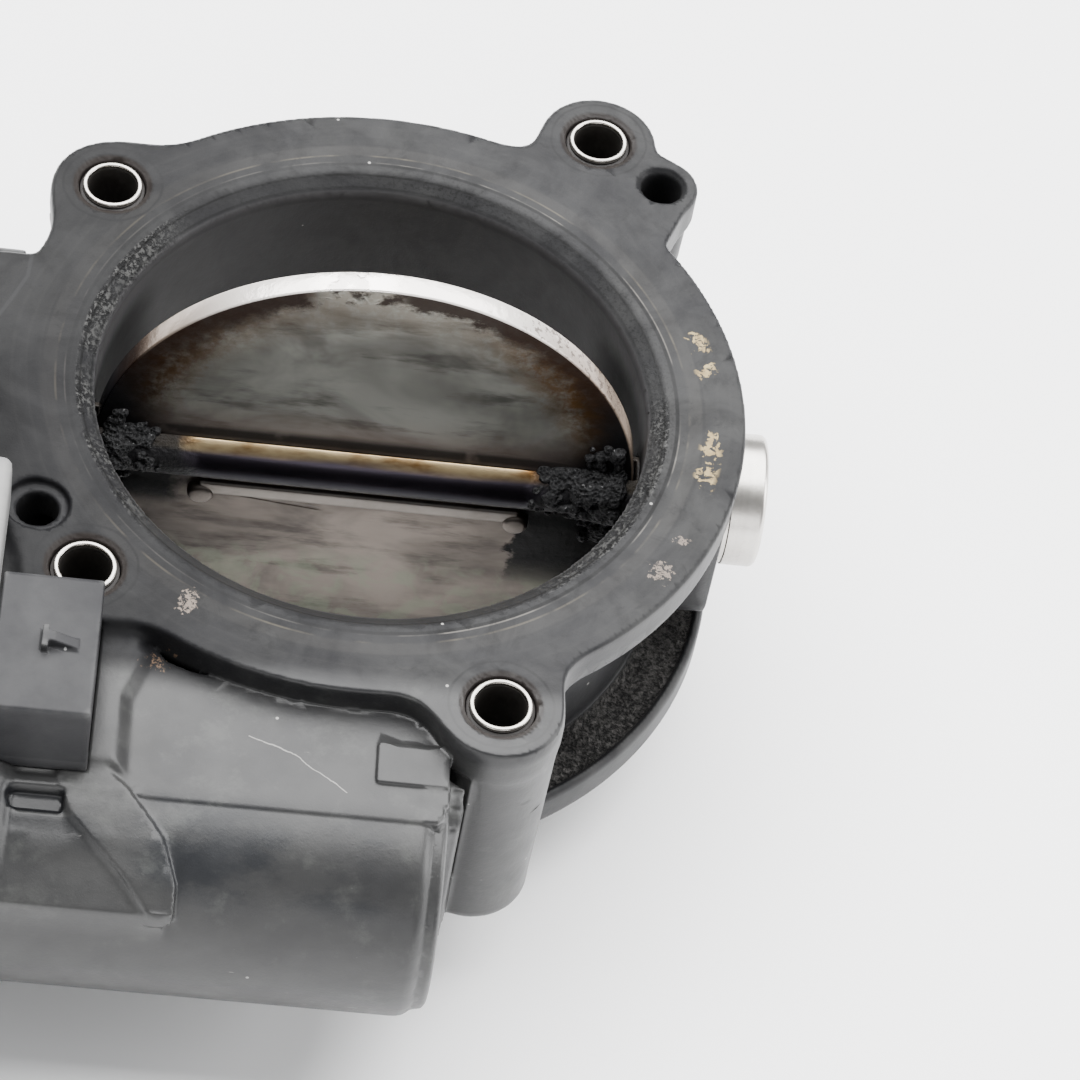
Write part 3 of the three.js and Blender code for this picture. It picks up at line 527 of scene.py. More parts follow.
# ---------------------------------------------------------------- cover, plug, shaft
def sculpt_cover(step):
    """The gear cover, hollow, with the hood beside the plug."""
    s = Sculpture((-68, -85.5, -52), (-41, 24, 20), step)
    s.add(prism("x", case_outline(CASE_WALL), COVER_END, COVER_FROM, 1.4))
    s.add(prism("x", case_outline(CASE_WALL), COVER_FROM - 2, COVER_FROM, 0.2))
    s.add(*screw_ears(COVER_FROM - 3.5, COVER_FROM, 0, 0.4), soft=0.8)
    for rib in (-8, 0, 8):
        s.add(prism("x", capsule((IDLER[0] + rib - 12, IDLER[1] + rib, 0.9),
                                 (IDLER[0] + rib + 12, IDLER[1] + rib, 0.9)), COVER_END, COVER_END + 2, 0.3))
    hood = rectangle(*HOOD_Y, HOOD_Z[0] - 6, HOOD_Z[1], 2.4)
    s.add(prism("x", hood, COVER_END, COVER_FROM, 1.4), soft=0.8)
    lip = Sculpture((-68, -85.5, -52), (-41, 24, 20), step)
    lip.add(prism("x", rectangle(*HOOD_Y, *HOOD_Z, 1.6), COVER_FROM - 4, HOOD_X, 1.2))
    lip.cut(prism("x", case_outline(CASE_WALL + GAP), COVER_FROM, PAN_RIM + 1.8 + GAP))
    lip.cut(*screw_ears(COVER_FROM, PAN_RIM + EAR_T + GAP, GAP))
    s.field = np.minimum(s.field, lip.field)
    s.cut(prism("x", case_outline(0), COVER_END + CASE_WALL, COVER_FROM + 2))
    s.cut(block(COVER_END + CASE_WALL, -45.3, HOOD_Y[0] + 2, HOOD_Y[1] - 2, 2, HOOD_Z[1] - 2))
    s.cut(block(COVER_END + CASE_WALL, COVER_FROM - 2, HOOD_Y[0] + 2, HOOD_Y[1] - 2, -12, 3))
    s.add(cylinder("x", IDLER, 5, COVER_END + 1, -61.6))
    s.cut(cylinder("x", IDLER, 2.25, -64, COVER_FROM))
    for at in SCREWS:
        s.cut(cylinder("x", at, 2.0, COVER_END - 2, COVER_FROM + 2))
        s.cut(cylinder("x", at, 3.45, COVER_END - 2, COVER_FROM - 3.5))
    for y in PIN_Y:
        for z in PIN_Z:
            s.cut(block(COVER_FROM - 3, HOOD_X + 2, y - 0.8, y + 0.8, z - 0.8, z + 0.8))
    return s.within("gear_cover")


def sculpt_shroud(step):
    """The plug's socket, with its latch wedge, keys and pin holes."""
    (x0, x1), (y0, y1), (z0, z1) = SHROUD_X, SHROUD_Y, SHROUD_Z
    middle = (y0 + y1) / 2
    s = Sculpture((x0 - 2, y0 - 2, z0 - 2), (x1 + 2, y1 + 2, z1 + 3.5), step)
    s.add(prism("x", rectangle(y0, y1, z0, z1, 0.5), x0, x1, 0.25))
    s.add(block(x0, x1, y0, y0 + 2, z0, z0 + 1.6, 0.2, 0.15), soft=0.3)
    wedge = polygon([(x1 - 6.2, z1 - 0.5), (x1 - 2.2, z1 - 0.5), (x1 - 2.2, z1 + 0.12),
                     (x1 - 5.2, z1 + 1.45), (x1 - 6.2, z1 + 1.45)])
    s.add(prism("y", wedge, middle - 0.75, middle + 0.75, 0.12), soft=0.2)
    s.add(block(x1 - 6.6, x1 - 5.8, middle - 1.6, middle + 1.6, z1 - 0.5, z1 + 1.45, 0.2, 0.15), soft=0.2)
    s.cut(prism("x", rectangle(y0 + SHROUD_WALL, y1 - SHROUD_WALL, z0 + SHROUD_WALL, z1 - SHROUD_WALL, 0.8),
                x0 + 2.4, x1 + 2), soft=0.2)
    for key in (-5.5, 5.5):
        y = middle + key
        s.add(block(x0 + 1, x1 - 1.5, y - 0.5, y + 0.5, z0 + 1, z0 + SHROUD_WALL + 0.8, 0.1))
    for y in PIN_Y:
        for z in PIN_Z:
            s.cut(block(x0 - 2, x0 + 3, y - 0.75, y + 0.75, z - 0.75, z + 0.75))
    return s


def sculpt_shaft(step):
    """The shaft, with the plate's slot, the retaining ring's groove and the gear's flat."""
    low, high = low_high("throttle_shaft")
    s = Sculpture((low.x - 1, -5.6, SHAFT_Z - 5.6), (high.x + 1, 5.6, SHAFT_Z + 5.6), step)
    s.add(cylinder("x", SHAFT, SHAFT_R - JOURNAL_GAP, low.x, high.x, 0.4))
    s.add(cylinder("x", SHAFT, SHAFT_R, -WALL_R + 4, WALL_R - 4, 0.1))
    x, y = THROAT_R - 0.2, PLATE_T / 2 + 0.12
    s.cut(block(-x, x, -y, y, SHAFT_Z - 6, SHAFT_Z + 6))
    s.cut(tube("x", SHAFT, SHAFT_R - 0.7, SHAFT_R + 1, 43.2, 44.2))
    s.cut(block(low.x - 1, -51.2, 3.2, 6, SHAFT_Z - 6, SHAFT_Z + 6))
    return s


# ---------------------------------------------------------------- turned pieces
SHARP_EDGE = math.radians(32.0)
WELD = 1e-7                 # metres


def turned_piece(name, axis, at, profile, segments=96):
    """A closed profile (radius, distance), in mm, turned about an axis through at."""
    iu, iv, iw = AXES[axis]
    angles = np.linspace(0, 2 * math.pi, segments, endpoint=False)
    points = np.zeros((len(profile), segments, 3))
    for row, (r, w) in enumerate(profile):
        points[row, :, iu] = at[0] + r * np.cos(angles)
        points[row, :, iv] = at[1] + r * np.sin(angles)
        points[row, :, iw] = w
    faces = []
    rows = len(profile)
    for i in range(rows):
        j = (i + 1) % rows
        if profile[i][0] <= 0 and profile[j][0] <= 0:
            continue
        for k in range(segments):
            n = (k + 1) % segments
            faces.append((i * segments + k, i * segments + n, j * segments + n, j * segments + k))
    data = bpy.data.meshes.new(name)
    data.from_pydata((np.array(BORE) + points.reshape(-1, 3) * MM).tolist(), [], faces)
    return finish_mesh(name, data)


def finish_mesh(name, data):
    """Welds and smooths a mesh, keeps its sharp edges and puts it in the scene."""
    bm = bmesh.new()
    bm.from_mesh(data)
    bmesh.ops.remove_doubles(bm, verts=bm.verts, dist=WELD)
    bmesh.ops.dissolve_degenerate(bm, edges=bm.edges, dist=WELD)
    bmesh.ops.recalc_face_normals(bm, faces=bm.faces)
    for face in bm.faces:
        face.smooth = True
    for edge in bm.edges:
        if len(edge.link_faces) == 2 and edge.calc_face_angle() > SHARP_EDGE:
            edge.smooth = False
    bm.to_mesh(data)
    bm.free()
    obj = bpy.data.objects.new(name, data)
    bpy.context.scene.collection.objects.link(obj)
    return obj


def arc(centre_at, r, start, end, count=5):
    """Points (radius, distance) of a rounded corner."""
    angles = [math.radians(start + (end - start) * i / (count - 1)) for i in range(count)]
    return [(centre_at[0] + r * math.cos(a), centre_at[1] + r * math.sin(a)) for a in angles]


def make_sleeve(i, at):
    low, high = -BODY_H, SLEEVE_PROUD
    inner, outer, e = SLEEVE_BORE_R, SLEEVE_R, 0.28
    neck = outer - SLEEVE_NECK
    profile = ([(outer, -0.9), (neck, -0.7)] + arc((neck - e, high - e), e, 0, 90)
               + arc((inner + e, high - e), e, 90, 180)
               + arc((inner + e, low + e), e, 180, 270) + arc((outer - e, low + e), e, 270, 360))
    return turned_piece(f"sleeve_{i}", "z", at, profile, 72)


def make_cap():
    profile = ([(0, 51.3), (7.4, 51.3)] + arc((7.75, 50.5), 0.8, 80, 0)
               + [(8.55, 46.9), (8.4, 46.75), (8.4, 46.1), (7.2, 46.1), (7.2, 49.9), (0, 49.9)])
    return turned_piece("shaft_cap", "x", SHAFT, profile, 96)


def make_plate():
    half, e = PLATE_T / 2, 0.22
    profile = ([(0, -half)] + arc((PLATE_R - e, -half + e), e, -90, 0, 4)
               + arc((PLATE_R - e, half - e), e, 0, 90, 4) + [(0, half)])
    return turned_piece("butterfly_plate", "y", (0, SHAFT_Z), profile, 192)


def sculpt_strip(step):
    """The raised bar on the plate's front face, thinned at its rounded ends."""
    s = Sculpture((-22.5, -PLATE_T / 2 - 2.5, SHAFT_Z - 9), (22.5, 0.8, SHAFT_Z - 3), step)
    front = -PLATE_T / 2 - STRIP_T
    bar = rectangle(-RIVET_X - 0.4, RIVET_X + 0.4, SHAFT_Z - 6.8, SHAFT_Z - SHAFT_R - GAP - 0.1, 0.45)
    s.add(prism("y", bar, front, -PLATE_T / 2 + 0.4, 0.35))
    return s


def make_rivet(i, x):
    front, back = -PLATE_T / 2, PLATE_T / 2
    profile = ([(0, front - 1.25)] + arc((1.1, front - 0.65), 0.6, -90, 0)
               + [(1.75, front - 0.02), (0.9, front - 0.02), (0.9, back + 0.3), (1.8, back + 0.3)]
               + arc((1.2, back + 0.3), 0.6, 0, 90) + [(0, back + 0.9)])
    return turned_piece(f"rivet_{i}", "y", (x, SHAFT_Z - RIVET_DROP), profile, 32)


def make_spigot_ring():
    profile = arc((SPIGOT_R - 0.05, SEAL_Z), 1.15, 0, 337.5, 16)
    return turned_piece("spigot_ring", "z", (0, 0), profile, 160)


# ---------------------------------------------------------------- materials
class Value:
    """A number or colour that varies over a surface, open to plain arithmetic."""

    def __init__(self, look, socket):
        self.look = look
        self.socket = socket

    def __add__(self, other):
        return self.look.math("ADD", self, other)

    def __sub__(self, other):
        return self.look.math("SUBTRACT", self, other)

    def __rsub__(self, other):
        return self.look.math("SUBTRACT", other, self)

    def __mul__(self, other):
        return self.look.math("MULTIPLY", self, other)

    def __truediv__(self, other):
        return self.look.math("DIVIDE", self, other)

    def __abs__(self):
        return self.look.math("ABSOLUTE", self)

    __radd__ = __add__
    __rmul__ = __mul__


class Look:
    """A node material, with its coordinates in mm from the bore's centre."""

    def __init__(self, name, **settings):
        self.material = bpy.data.materials.new(name)
        self.material.use_nodes = True
        self.tree = self.material.node_tree
        self.shader = self.tree.nodes["Principled BSDF"]
        for key, value in settings.items():
            self.set(key.title(), value)
        object_space = Value(self, self.node("ShaderNodeTexCoord").outputs["Object"])
        self.at = self.placed(object_space, (1 / MM,) * 3, tuple(-BORE / MM))
        self.x, self.y, self.z = self.split(self.at)
        self.relief = None
        self.colour = None

    def node(self, kind, **settings):
        node = self.tree.nodes.new(kind)
        for key, value in settings.items():
            setattr(node, key, value)
        return node

    def link(self, value, socket):
        if isinstance(value, Value):
            self.tree.links.new(value.socket, socket)
        elif isinstance(value, tuple):
            socket.default_value = (*value, 1.0)
        else:
            socket.default_value = value

    def feed(self, node, *values):
        """The first output of a node whose first inputs are values."""
        for value, socket in zip(values, node.inputs):
            self.link(value, socket)
        return Value(self, node.outputs[0])

    def set(self, name, value):
        self.link(value, self.shader.inputs[name])

    def coat(self, colour):
        """The colour all over."""
        self.colour = colour
        self.set("Base Color", colour)

    def paint(self, share, colour):
        """Another colour over a share of the one before."""
        self.coat(self.mix(share, self.colour, colour))

    def placed(self, at, scale, location):
        node = self.node("ShaderNodeMapping")
        node.inputs["Scale"].default_value = scale
        node.inputs["Location"].default_value = location
        return self.feed(node, at)

    def split(self, vector):
        node = self.node("ShaderNodeSeparateXYZ")
        self.feed(node, vector)
        return [Value(self, output) for output in node.outputs]

    def math(self, operation, *values):
        return self.feed(self.node("ShaderNodeMath", operation=operation), *values)

    def most(self, a, b):
        return self.math("MAXIMUM", a, b)

    def least(self, a, b):
        return self.math("MINIMUM", a, b)

    def step(self, value, start, end, low=0.0, high=1.0):
        """A smooth change of value's range start..end to low..high, held outside it."""
        node = self.node("ShaderNodeMapRange", interpolation_type="SMOOTHSTEP")
        return self.feed(node, value, start, end, low, high)

    def band(self, value, middle, half, soft):
        """1 where value is within half of middle, falling to 0 over soft."""
        return self.step(abs(value - middle), half, half + soft, 1.0, 0.0)

    def noise(self, scale, detail=3.0, rough=0.5, at=None, distort=0.0, stretch=(1, 1, 1), seed=0.0):
        """Noise of about 0 to 1 whose largest grains are scale mm wide."""
        scales = tuple(1 / (scale * s) for s in stretch)
        node = self.node("ShaderNodeTexNoise")
        self.feed(node, self.placed(at or self.at, scales, (seed, seed * 0.7, -seed)))
        node.inputs["Scale"].default_value = 1.0
        node.inputs["Detail"].default_value = detail
        node.inputs["Roughness"].default_value = rough
        node.inputs["Distortion"].default_value = distort
        return Value(self, node.outputs["Fac"])

    def cells(self, scale, seed=0.0):
        """Distance to the nearest of scattered points, about scale mm apart."""
        node = self.node("ShaderNodeTexVoronoi")
        self.feed(node, self.placed(self.at, (1 / scale,) * 3, (seed, -seed, seed * 0.3)))
        node.inputs["Scale"].default_value = 1.0
        return Value(self, node.outputs["Distance"])

    def mix(self, share, a, b):
        node = self.node("ShaderNodeMix", data_type="RGBA")
        for value, socket in ((share, node.inputs[0]), (a, node.inputs[6]), (b, node.inputs[7])):
            self.link(value, socket)
        return Value(self, node.outputs[2])

    def blend(self, share, a, b):
        """Numbers a to b by share."""
        return (1.0 - share) * a + share * b

    def radius(self, at=(0.0, 0.0), axis="z"):
        """Distance from the axis through at."""
        iu, iv, _ = AXES[axis]
        place = (self.x, self.y, self.z)
        du, dv = place[iu] - at[0], place[iv] - at[1]
        return self.math("SQRT", self.math("POWER", du, 2.0) + self.math("POWER", dv, 2.0))

    def rings(self, r):
        """Coordinates that run only with r, so that noise on them makes rings."""
        return self.feed(self.node("ShaderNodeCombineXYZ"), r)

    def stroke(self, points, width, waver=0.0):
        """1 on a drawn line through (x, y) points, seen from above."""
        x, y = self.x, self.y
        if waver:
            x = x + (self.noise(2.2, seed=3.0) - 0.5) * waver
            y = y + (self.noise(2.2, seed=8.0) - 0.5) * waver
        nearest = None
        for (x0, y0), (x1, y1) in zip(points, points[1:]):
            ex, ey = x1 - x0, y1 - y0
            px, py = x - x0, y - y0
            t = (px * ex + py * ey) / (ex * ex + ey * ey)
            t = self.least(self.most(t, 0.0), 1.0)
            dx, dy = px - t * ex, py - t * ey
            d = self.math("SQRT", dx * dx + dy * dy)
            nearest = self.least(nearest, d) if nearest else d
        return self.step(nearest, width * 0.4, width, 1.0, 0.0)

    def spot(self, at, r, size, seed, share):
        """Ragged flecks within r of (x, y), with grains of about size mm."""
        torn = (self.noise(r * 0.9, 3.0, 0.6, seed=seed + 20.0) - 0.5) * (r * 2.4)
        near = self.step(self.radius(at) + torn, r * 0.15, r, 1.0, 0.0)
        chips = self.noise(size, 5.0, 0.7, seed=seed, distort=0.8)
        return self.step(chips * near, share, share + 0.04)

    def convexity(self):
        node = self.node("ShaderNodeAttribute", attribute_name="convexity")
        return Value(self, node.outputs["Fac"])

    def facing_up(self):
        normal = Value(self, self.node("ShaderNodeNewGeometry").outputs["Normal"])
        return self.split(normal)[2]

    def bump(self, height, depth):
        """Height of 0 to 1 as relief of depth mm, on top of any relief before."""
        node = self.node("ShaderNodeBump")
        node.inputs["Strength"].default_value = 1.0
        node.inputs["Distance"].default_value = depth * MM
        self.link(height, node.inputs["Height"])
        if self.relief:
            self.link(self.relief, node.inputs["Normal"])
        self.relief = Value(self, node.outputs[0])
        self.set("Normal", self.relief)

    def wear(self, obj):
        obj.data.materials.clear()
        obj.data.materials.append(self.material)


def srgb(r, g, b):
    """A colour given as 0 to 255."""
    shares = (r / 255, g / 255, b / 255)
    return tuple(c / 12.92 if c <= 0.04045 else ((c + 0.055) / 1.055) ** 2.4 for c in shares)


MATTE = 0.15            # specular level of dusty plastic
SATIN = 0.34            # and of plastic rubbed clean


def moulded(name, dark, light, rough=0.5):
    """Glass-filled plastic: a fine grain, handling stains and pale worn edges."""
    look = Look(name)
    blotches = look.noise(26, 4.0, 0.55, distort=0.6)
    mottle = look.noise(5, 5.0, 0.6, seed=4.0)
    tone = look.step(blotches, 0.36, 0.64) * 0.6 + look.step(mottle, 0.34, 0.66) * 0.4
    look.coat(look.mix(tone, dark, light))
    worn = look.step(look.convexity() + (mottle - 0.5) * 0.35, 0.2, 0.5)
    look.paint(worn * 0.3, srgb(96, 96, 95))
    # inner corners painted darker
    corner_darkening = look.step(look.convexity(), -0.45, -0.12, 1.0, 0.0)
    look.paint(corner_darkening * 0.6, srgb(12, 12, 12))
    rub = look.noise(9, 5.0, 0.7, seed=9.0)
    roughness = rough - 0.1 + rub * 0.22
    look.set("Specular IOR Level", MATTE)
    return look, roughness


def housing_look():
    """Black glass-filled plastic; every mark is placed in mm from the bore's centre."""
    look, roughness = moulded("housing_plastic", srgb(23, 23, 25), srgb(38, 38, 38), 0.45)
    step, band, noise = look.step, look.band, look.noise
    most, paint, bump = look.most, look.paint, look.bump
    r = look.radius()
    top = step(look.z, -0.6, -0.3) * step(look.facing_up(), 0.8, 0.95)
    fine = noise(0.35, 2.0, 0.6, seed=2.0)

    # the deck and barrel are rubbed lighter than the flange
    barrel = step(look.y, -43.5, -47.5)
    low = step(look.z, -1.5, -3.0)
    rubbed = barrel * low * step(noise(11, 5.0, 0.6, seed=6.0), 0.25, 0.75, 0.35, 1.0)
    paint(rubbed * 0.35, srgb(58, 58, 57))

    # a painted dark reflection: a bluish-dark band over the barrel's front, broken into blotches
    front = band(look.y, -67.5, 3.5, 3.0) * band(look.x, -9.0, 12.0, 6.0)
    blotches = step(noise(8, 5.0, 0.65, seed=23.0, stretch=(1.6, 1, 1)), 0.42, 0.6)
    paint(front * blotches * 0.7, srgb(17, 19, 23))
    bloom = step(noise(6, 5.0, 0.7, seed=26.0), 0.52, 0.7) * barrel
    paint(bloom * 0.15, srgb(88, 90, 86))

    # turned marks on the flange's face, and where the duct's seal has rubbed
    turned = noise(0.9, 2.0, 0.5, at=look.rings(r), seed=1.0)
    paint(top * band(r, 40.9, 0.6, 0.5) * 0.12, srgb(68, 66, 63))
    broken = step(noise(7, 3.0, seed=12.0), 0.42, 0.62)
    paint(top * band(r, 40.0, 0.05, 0.16) * (broken * 0.2), srgb(122, 114, 98))
    right = step(look.x, -8.0, 12.0, 0.35, 1.0)
    paint(top * band(r, 38.5, 0.14, 0.2) * right, srgb(7, 7, 8))
    edge = top * band(r, 38.85, 0.03, 0.12) * (right * broken)
    paint(edge * 0.5, srgb(116, 112, 106))
    paint(top * band(r, 41.9, 0.05, 0.3) * 0.5, srgb(26, 26, 27))

    # an oily film on the left, faint swirls and smudges
    film = top * step(look.x, 0.0, -38.0)
    paint(film * 0.55, srgb(13, 13, 14))
    waved = r + noise(14, 2.0, seed=3.0) * 1.4
    swirl = noise(1.6, 4.0, 0.6, at=look.rings(waved))
    paint(top * step(swirl, 0.5, 0.7) * 0.1, srgb(58, 57, 56))
    smudge = top * step(noise(3.4, 6.0, 0.75, seed=35.0, distort=0.5), 0.52, 0.66)
    paint(smudge * 0.45, srgb(15, 15, 16))

    # a moulded ring about each sleeve, and a dark ring in the gap round the steel: painted shade with dirt
    for at in BOLTS:
        near = look.radius(at) + (noise(3, 2.0, seed=at[0]) - 0.5) * 0.5
        paint(top * band(near, 6.35, 0.05, 0.22) * 0.7, srgb(18, 18, 19))
        paint(band(look.radius(at), 4.5, 0.35, 0.5) * 0.85, srgb(30, 26, 24))

    # pitted throat edge, black soot lower in the bore
    chamfer = band(r, 36.2, 1.1, 0.35) * step(look.z, -2.2, -1.7)
    pits = step(noise(0.6, 4.0, 0.7, seed=5.0), 0.36, 0.58)
    side = most(step(look.x, 14.0, 28.0) * step(look.y, 12.0, -6.0), step(look.x, -24.0, -32.0))
    pitted = chamfer * (side * step(noise(5, 3.0, seed=15.0), 0.3, 0.6))
    paint(chamfer * 0.35, srgb(30, 30, 31))
    paint(pitted * ((1.0 - pits) * 0.45), srgb(13, 13, 13))
    paint(pitted * (step(pits, 0.7, 1.0) * 0.4), srgb(88, 88, 86))
    specks = step(noise(0.5, 3.0, 0.7, seed=41.0), 0.5, 0.62)
    gritty = band(r, 37.0, 1.3, 0.4) * right * step(look.z, -2.4, -1.8)
    paint(gritty * specks * 0.6, srgb(12, 12, 12))
    for ring, depth in ((35.5, 0.5), (36.9, 0.7)):
        paint(band(r, ring, 0.04, 0.16) * step(look.z, -2.4, -2.0) * depth, srgb(14, 14, 14))
    bore = step(r, 35.35, 35.1) * step(look.z, 0.0, -2.0)
    paint(bore * 0.6, srgb(60, 59, 60))
    soot = bore * (step(abs(look.x), 27.5, 32.5) * step(look.z, -4, -9))
    paint(soot * 0.9, srgb(9, 9, 9))

    # granular soot on the lower flange
    ledge = step(r, 39.6, 39.9) * step(r, 45.9, 45.3) * band(look.z, -31.0, 0.7, 0.5)
    grains = step(noise(0.7, 4.0, 0.75, seed=17.0), 0.35, 0.6)
    paint(ledge * 0.9, look.mix(grains * fine, srgb(20, 20, 20), srgb(92, 90, 88)))

    # flecks of gasket, resin and rust
    for at, reach, seed in (((40.8, 13.5), 4.6, 1.0), ((42.6, 9.0), 3.6, 2.5),
                            ((42.4, -5.0), 4.6, 4.0), ((42.6, -9.5), 5.0, 5.5)):
        fleck = look.spot(at, reach, 1.0, seed, 0.44) * band(r, 43.0, 0.9, 0.9)
        tint = look.mix(noise(1.2, 3.0, seed=seed), srgb(96, 70, 36), srgb(190, 172, 126))
        paint(top * (fleck * 0.8), tint)
    for at, reach, seed in (((39.5, -19.8), 2.0, 1.5), ((36.2, -24.8), 3.6, 3.1),
                            ((-21.0, -36.0), 3.8, 6.2)):
        fleck = look.spot(at, reach, 0.6, seed, 0.47)
        paint(top * (fleck * 0.45), srgb(150, 136, 124))
    rust = look.spot((-24.0, -43.6), 3.4, 0.5, 7.7, 0.52) * step(look.z, -7, -5)
    paint(rust * 0.5, srgb(118, 96, 78))

    # scratches across the deck, and small nicks lower down
    deck = step(look.z, DECK_Z - 0.5, DECK_Z - 0.2)
    scratch = deck * look.stroke([(-12.2, -52.6), (-7.1, -54.5), (0.0, -59.5)], 0.11, 0.9)
    scuffs = step(noise(0.9, 4.0, 0.65, stretch=(4, 1, 1), seed=13.0), 0.72, 0.78) * low
    corner = band(look.x, 3.0, 5.0, 4.0) * band(look.z, -29.0, 2.5, 3.0)
    chafed = step(noise(0.5, 4.0, 0.7, stretch=(6, 1, 1), seed=19.0), 0.6, 0.68) * corner
    marks = most(scratch * 0.4, barrel * most(scuffs * 0.3, chafed * 0.4))
    paint(marks, srgb(176, 174, 170))
    dots = step(look.cells(7.5, seed=3.3), 0.032, 0.022) * step(look.facing_up(), -0.2, 0.1)
    paint(dots * 0.6, srgb(176, 174, 170))
    groove = look.stroke([(-48.6, 4.0), (-46.2, 9.5), (-44.8, 13.0), (-44.6, 17.0)], 0.35)
    paint(top * groove * 0.8, srgb(34, 34, 35))

    # the recess in front of the plug, in shade
    slot = step(look.x, -32.6, -33.4) * band(look.y, -64.3, 1.1, 0.3)
    behind = step(look.y, -65.8, -66.1) * step(look.y, -70.5, -66.5)
    shade = behind * step(look.x + look.y, -94.5, -97.5)
    recess = most(slot * 0.85, shade * 0.6) * step(look.z, -9.0, -8.6)
    paint(recess, srgb(14, 15, 18))

    # a satin barrel and a dusty flange
    clean = barrel * step(noise(9, 4.0, 0.6, seed=21.0), 0.2, 0.6)
    sheen = step(noise(9, 5.0, 0.65, seed=31.0, distort=0.8), 0.36, 0.62, 0.55, 1.05)
    sheen = sheen * step(look.x + look.y * 0.2, -34.0, 12.0, 0.5, 1.0)
    look.set("Specular IOR Level", SATIN)
    look.set("Specular Tint", look.blend(barrel, sheen * (MATTE / SATIN), 1.0))
    roughness = roughness - clean * 0.1
    look.set("Roughness", roughness + most(ledge, soot) * 0.3)
    bump(noise(0.28, 2.0, 0.6), 0.012)
    bump(noise(2.4, 4.0, 0.6, seed=7.0), 0.05)
    bump(top * turned, 0.015)
    bump(pitted * pits, 0.12)
    bump(ledge * (grains + fine), 0.35)
    bump(marks, -0.04)
    return look


def plain_plastic(name, dark, light, rough=0.45):
    """The same plastic with pale specks, for the cover and the plug."""
    look, roughness = moulded(name, dark, light, rough)
    dots = look.step(look.cells(6.2, seed=1.7), 0.04, 0.028)
    look.paint(dots * 0.4, srgb(190, 190, 188))
    look.set("Roughness", roughness)
    look.bump(look.noise(0.28, 2.0, 0.6), 0.012)
    look.bump(look.noise(2.2, 4.0, 0.6, seed=7.0), 0.03)
    return look


def metal(name, dark, light, rough=0.3, grain=(1, 1, 1), size=0.6):
    """Bare metal with a drawn grain and a faint tarnish."""
    look = Look(name, metallic=1.0)
    lines = look.noise(size, 3.0, 0.6, stretch=grain)
    tarnish = look.noise(6, 4.0, 0.6, seed=3.0)
    look.coat(look.mix(lines * 0.5 + look.step(tarnish, 0.3, 0.7) * 0.5, dark, light))
    look.set("Roughness", rough - 0.08 + tarnish * 0.2)
    look.bump(lines, 0.008)
    return look


def sleeve_look():
    """Bright rings, painted dark inside their bores as shade with dirt, and painted dark as shade where
    their necks go down into the flange.
    """
    look = metal("sleeve_steel", srgb(156, 152, 146), srgb(212, 208, 202), 0.3)
    nearest = None
    for at in BOLTS:
        r = look.radius(at)
        nearest = look.least(nearest, r) if nearest else r
    # the bores painted dark: shade with dirt
    inside = look.step(nearest, SLEEVE_BORE_R + 0.16, SLEEVE_BORE_R + 0.05) * look.step(look.z, -0.1, -0.8)
    neck = SLEEVE_R - SLEEVE_NECK
    dirt = look.step(look.noise(1.2, 3.0, 0.6, seed=2.0), 0.35, 0.6) * look.step(nearest, neck - 0.25, neck)
    # painted shade on the necks below the flange's face
    sunk = look.step(look.z, -0.25, -0.45) * look.step(nearest, SLEEVE_BORE_R + 0.3, SLEEVE_BORE_R + 0.4)
    share = look.most(look.most(inside * 0.88, dirt * 0.5), sunk)
    look.paint(share, srgb(30, 26, 24))
    look.set("Metallic", 1.0 - sunk)
    look.set("Roughness", look.blend(share, 0.24, 0.6))
    return look


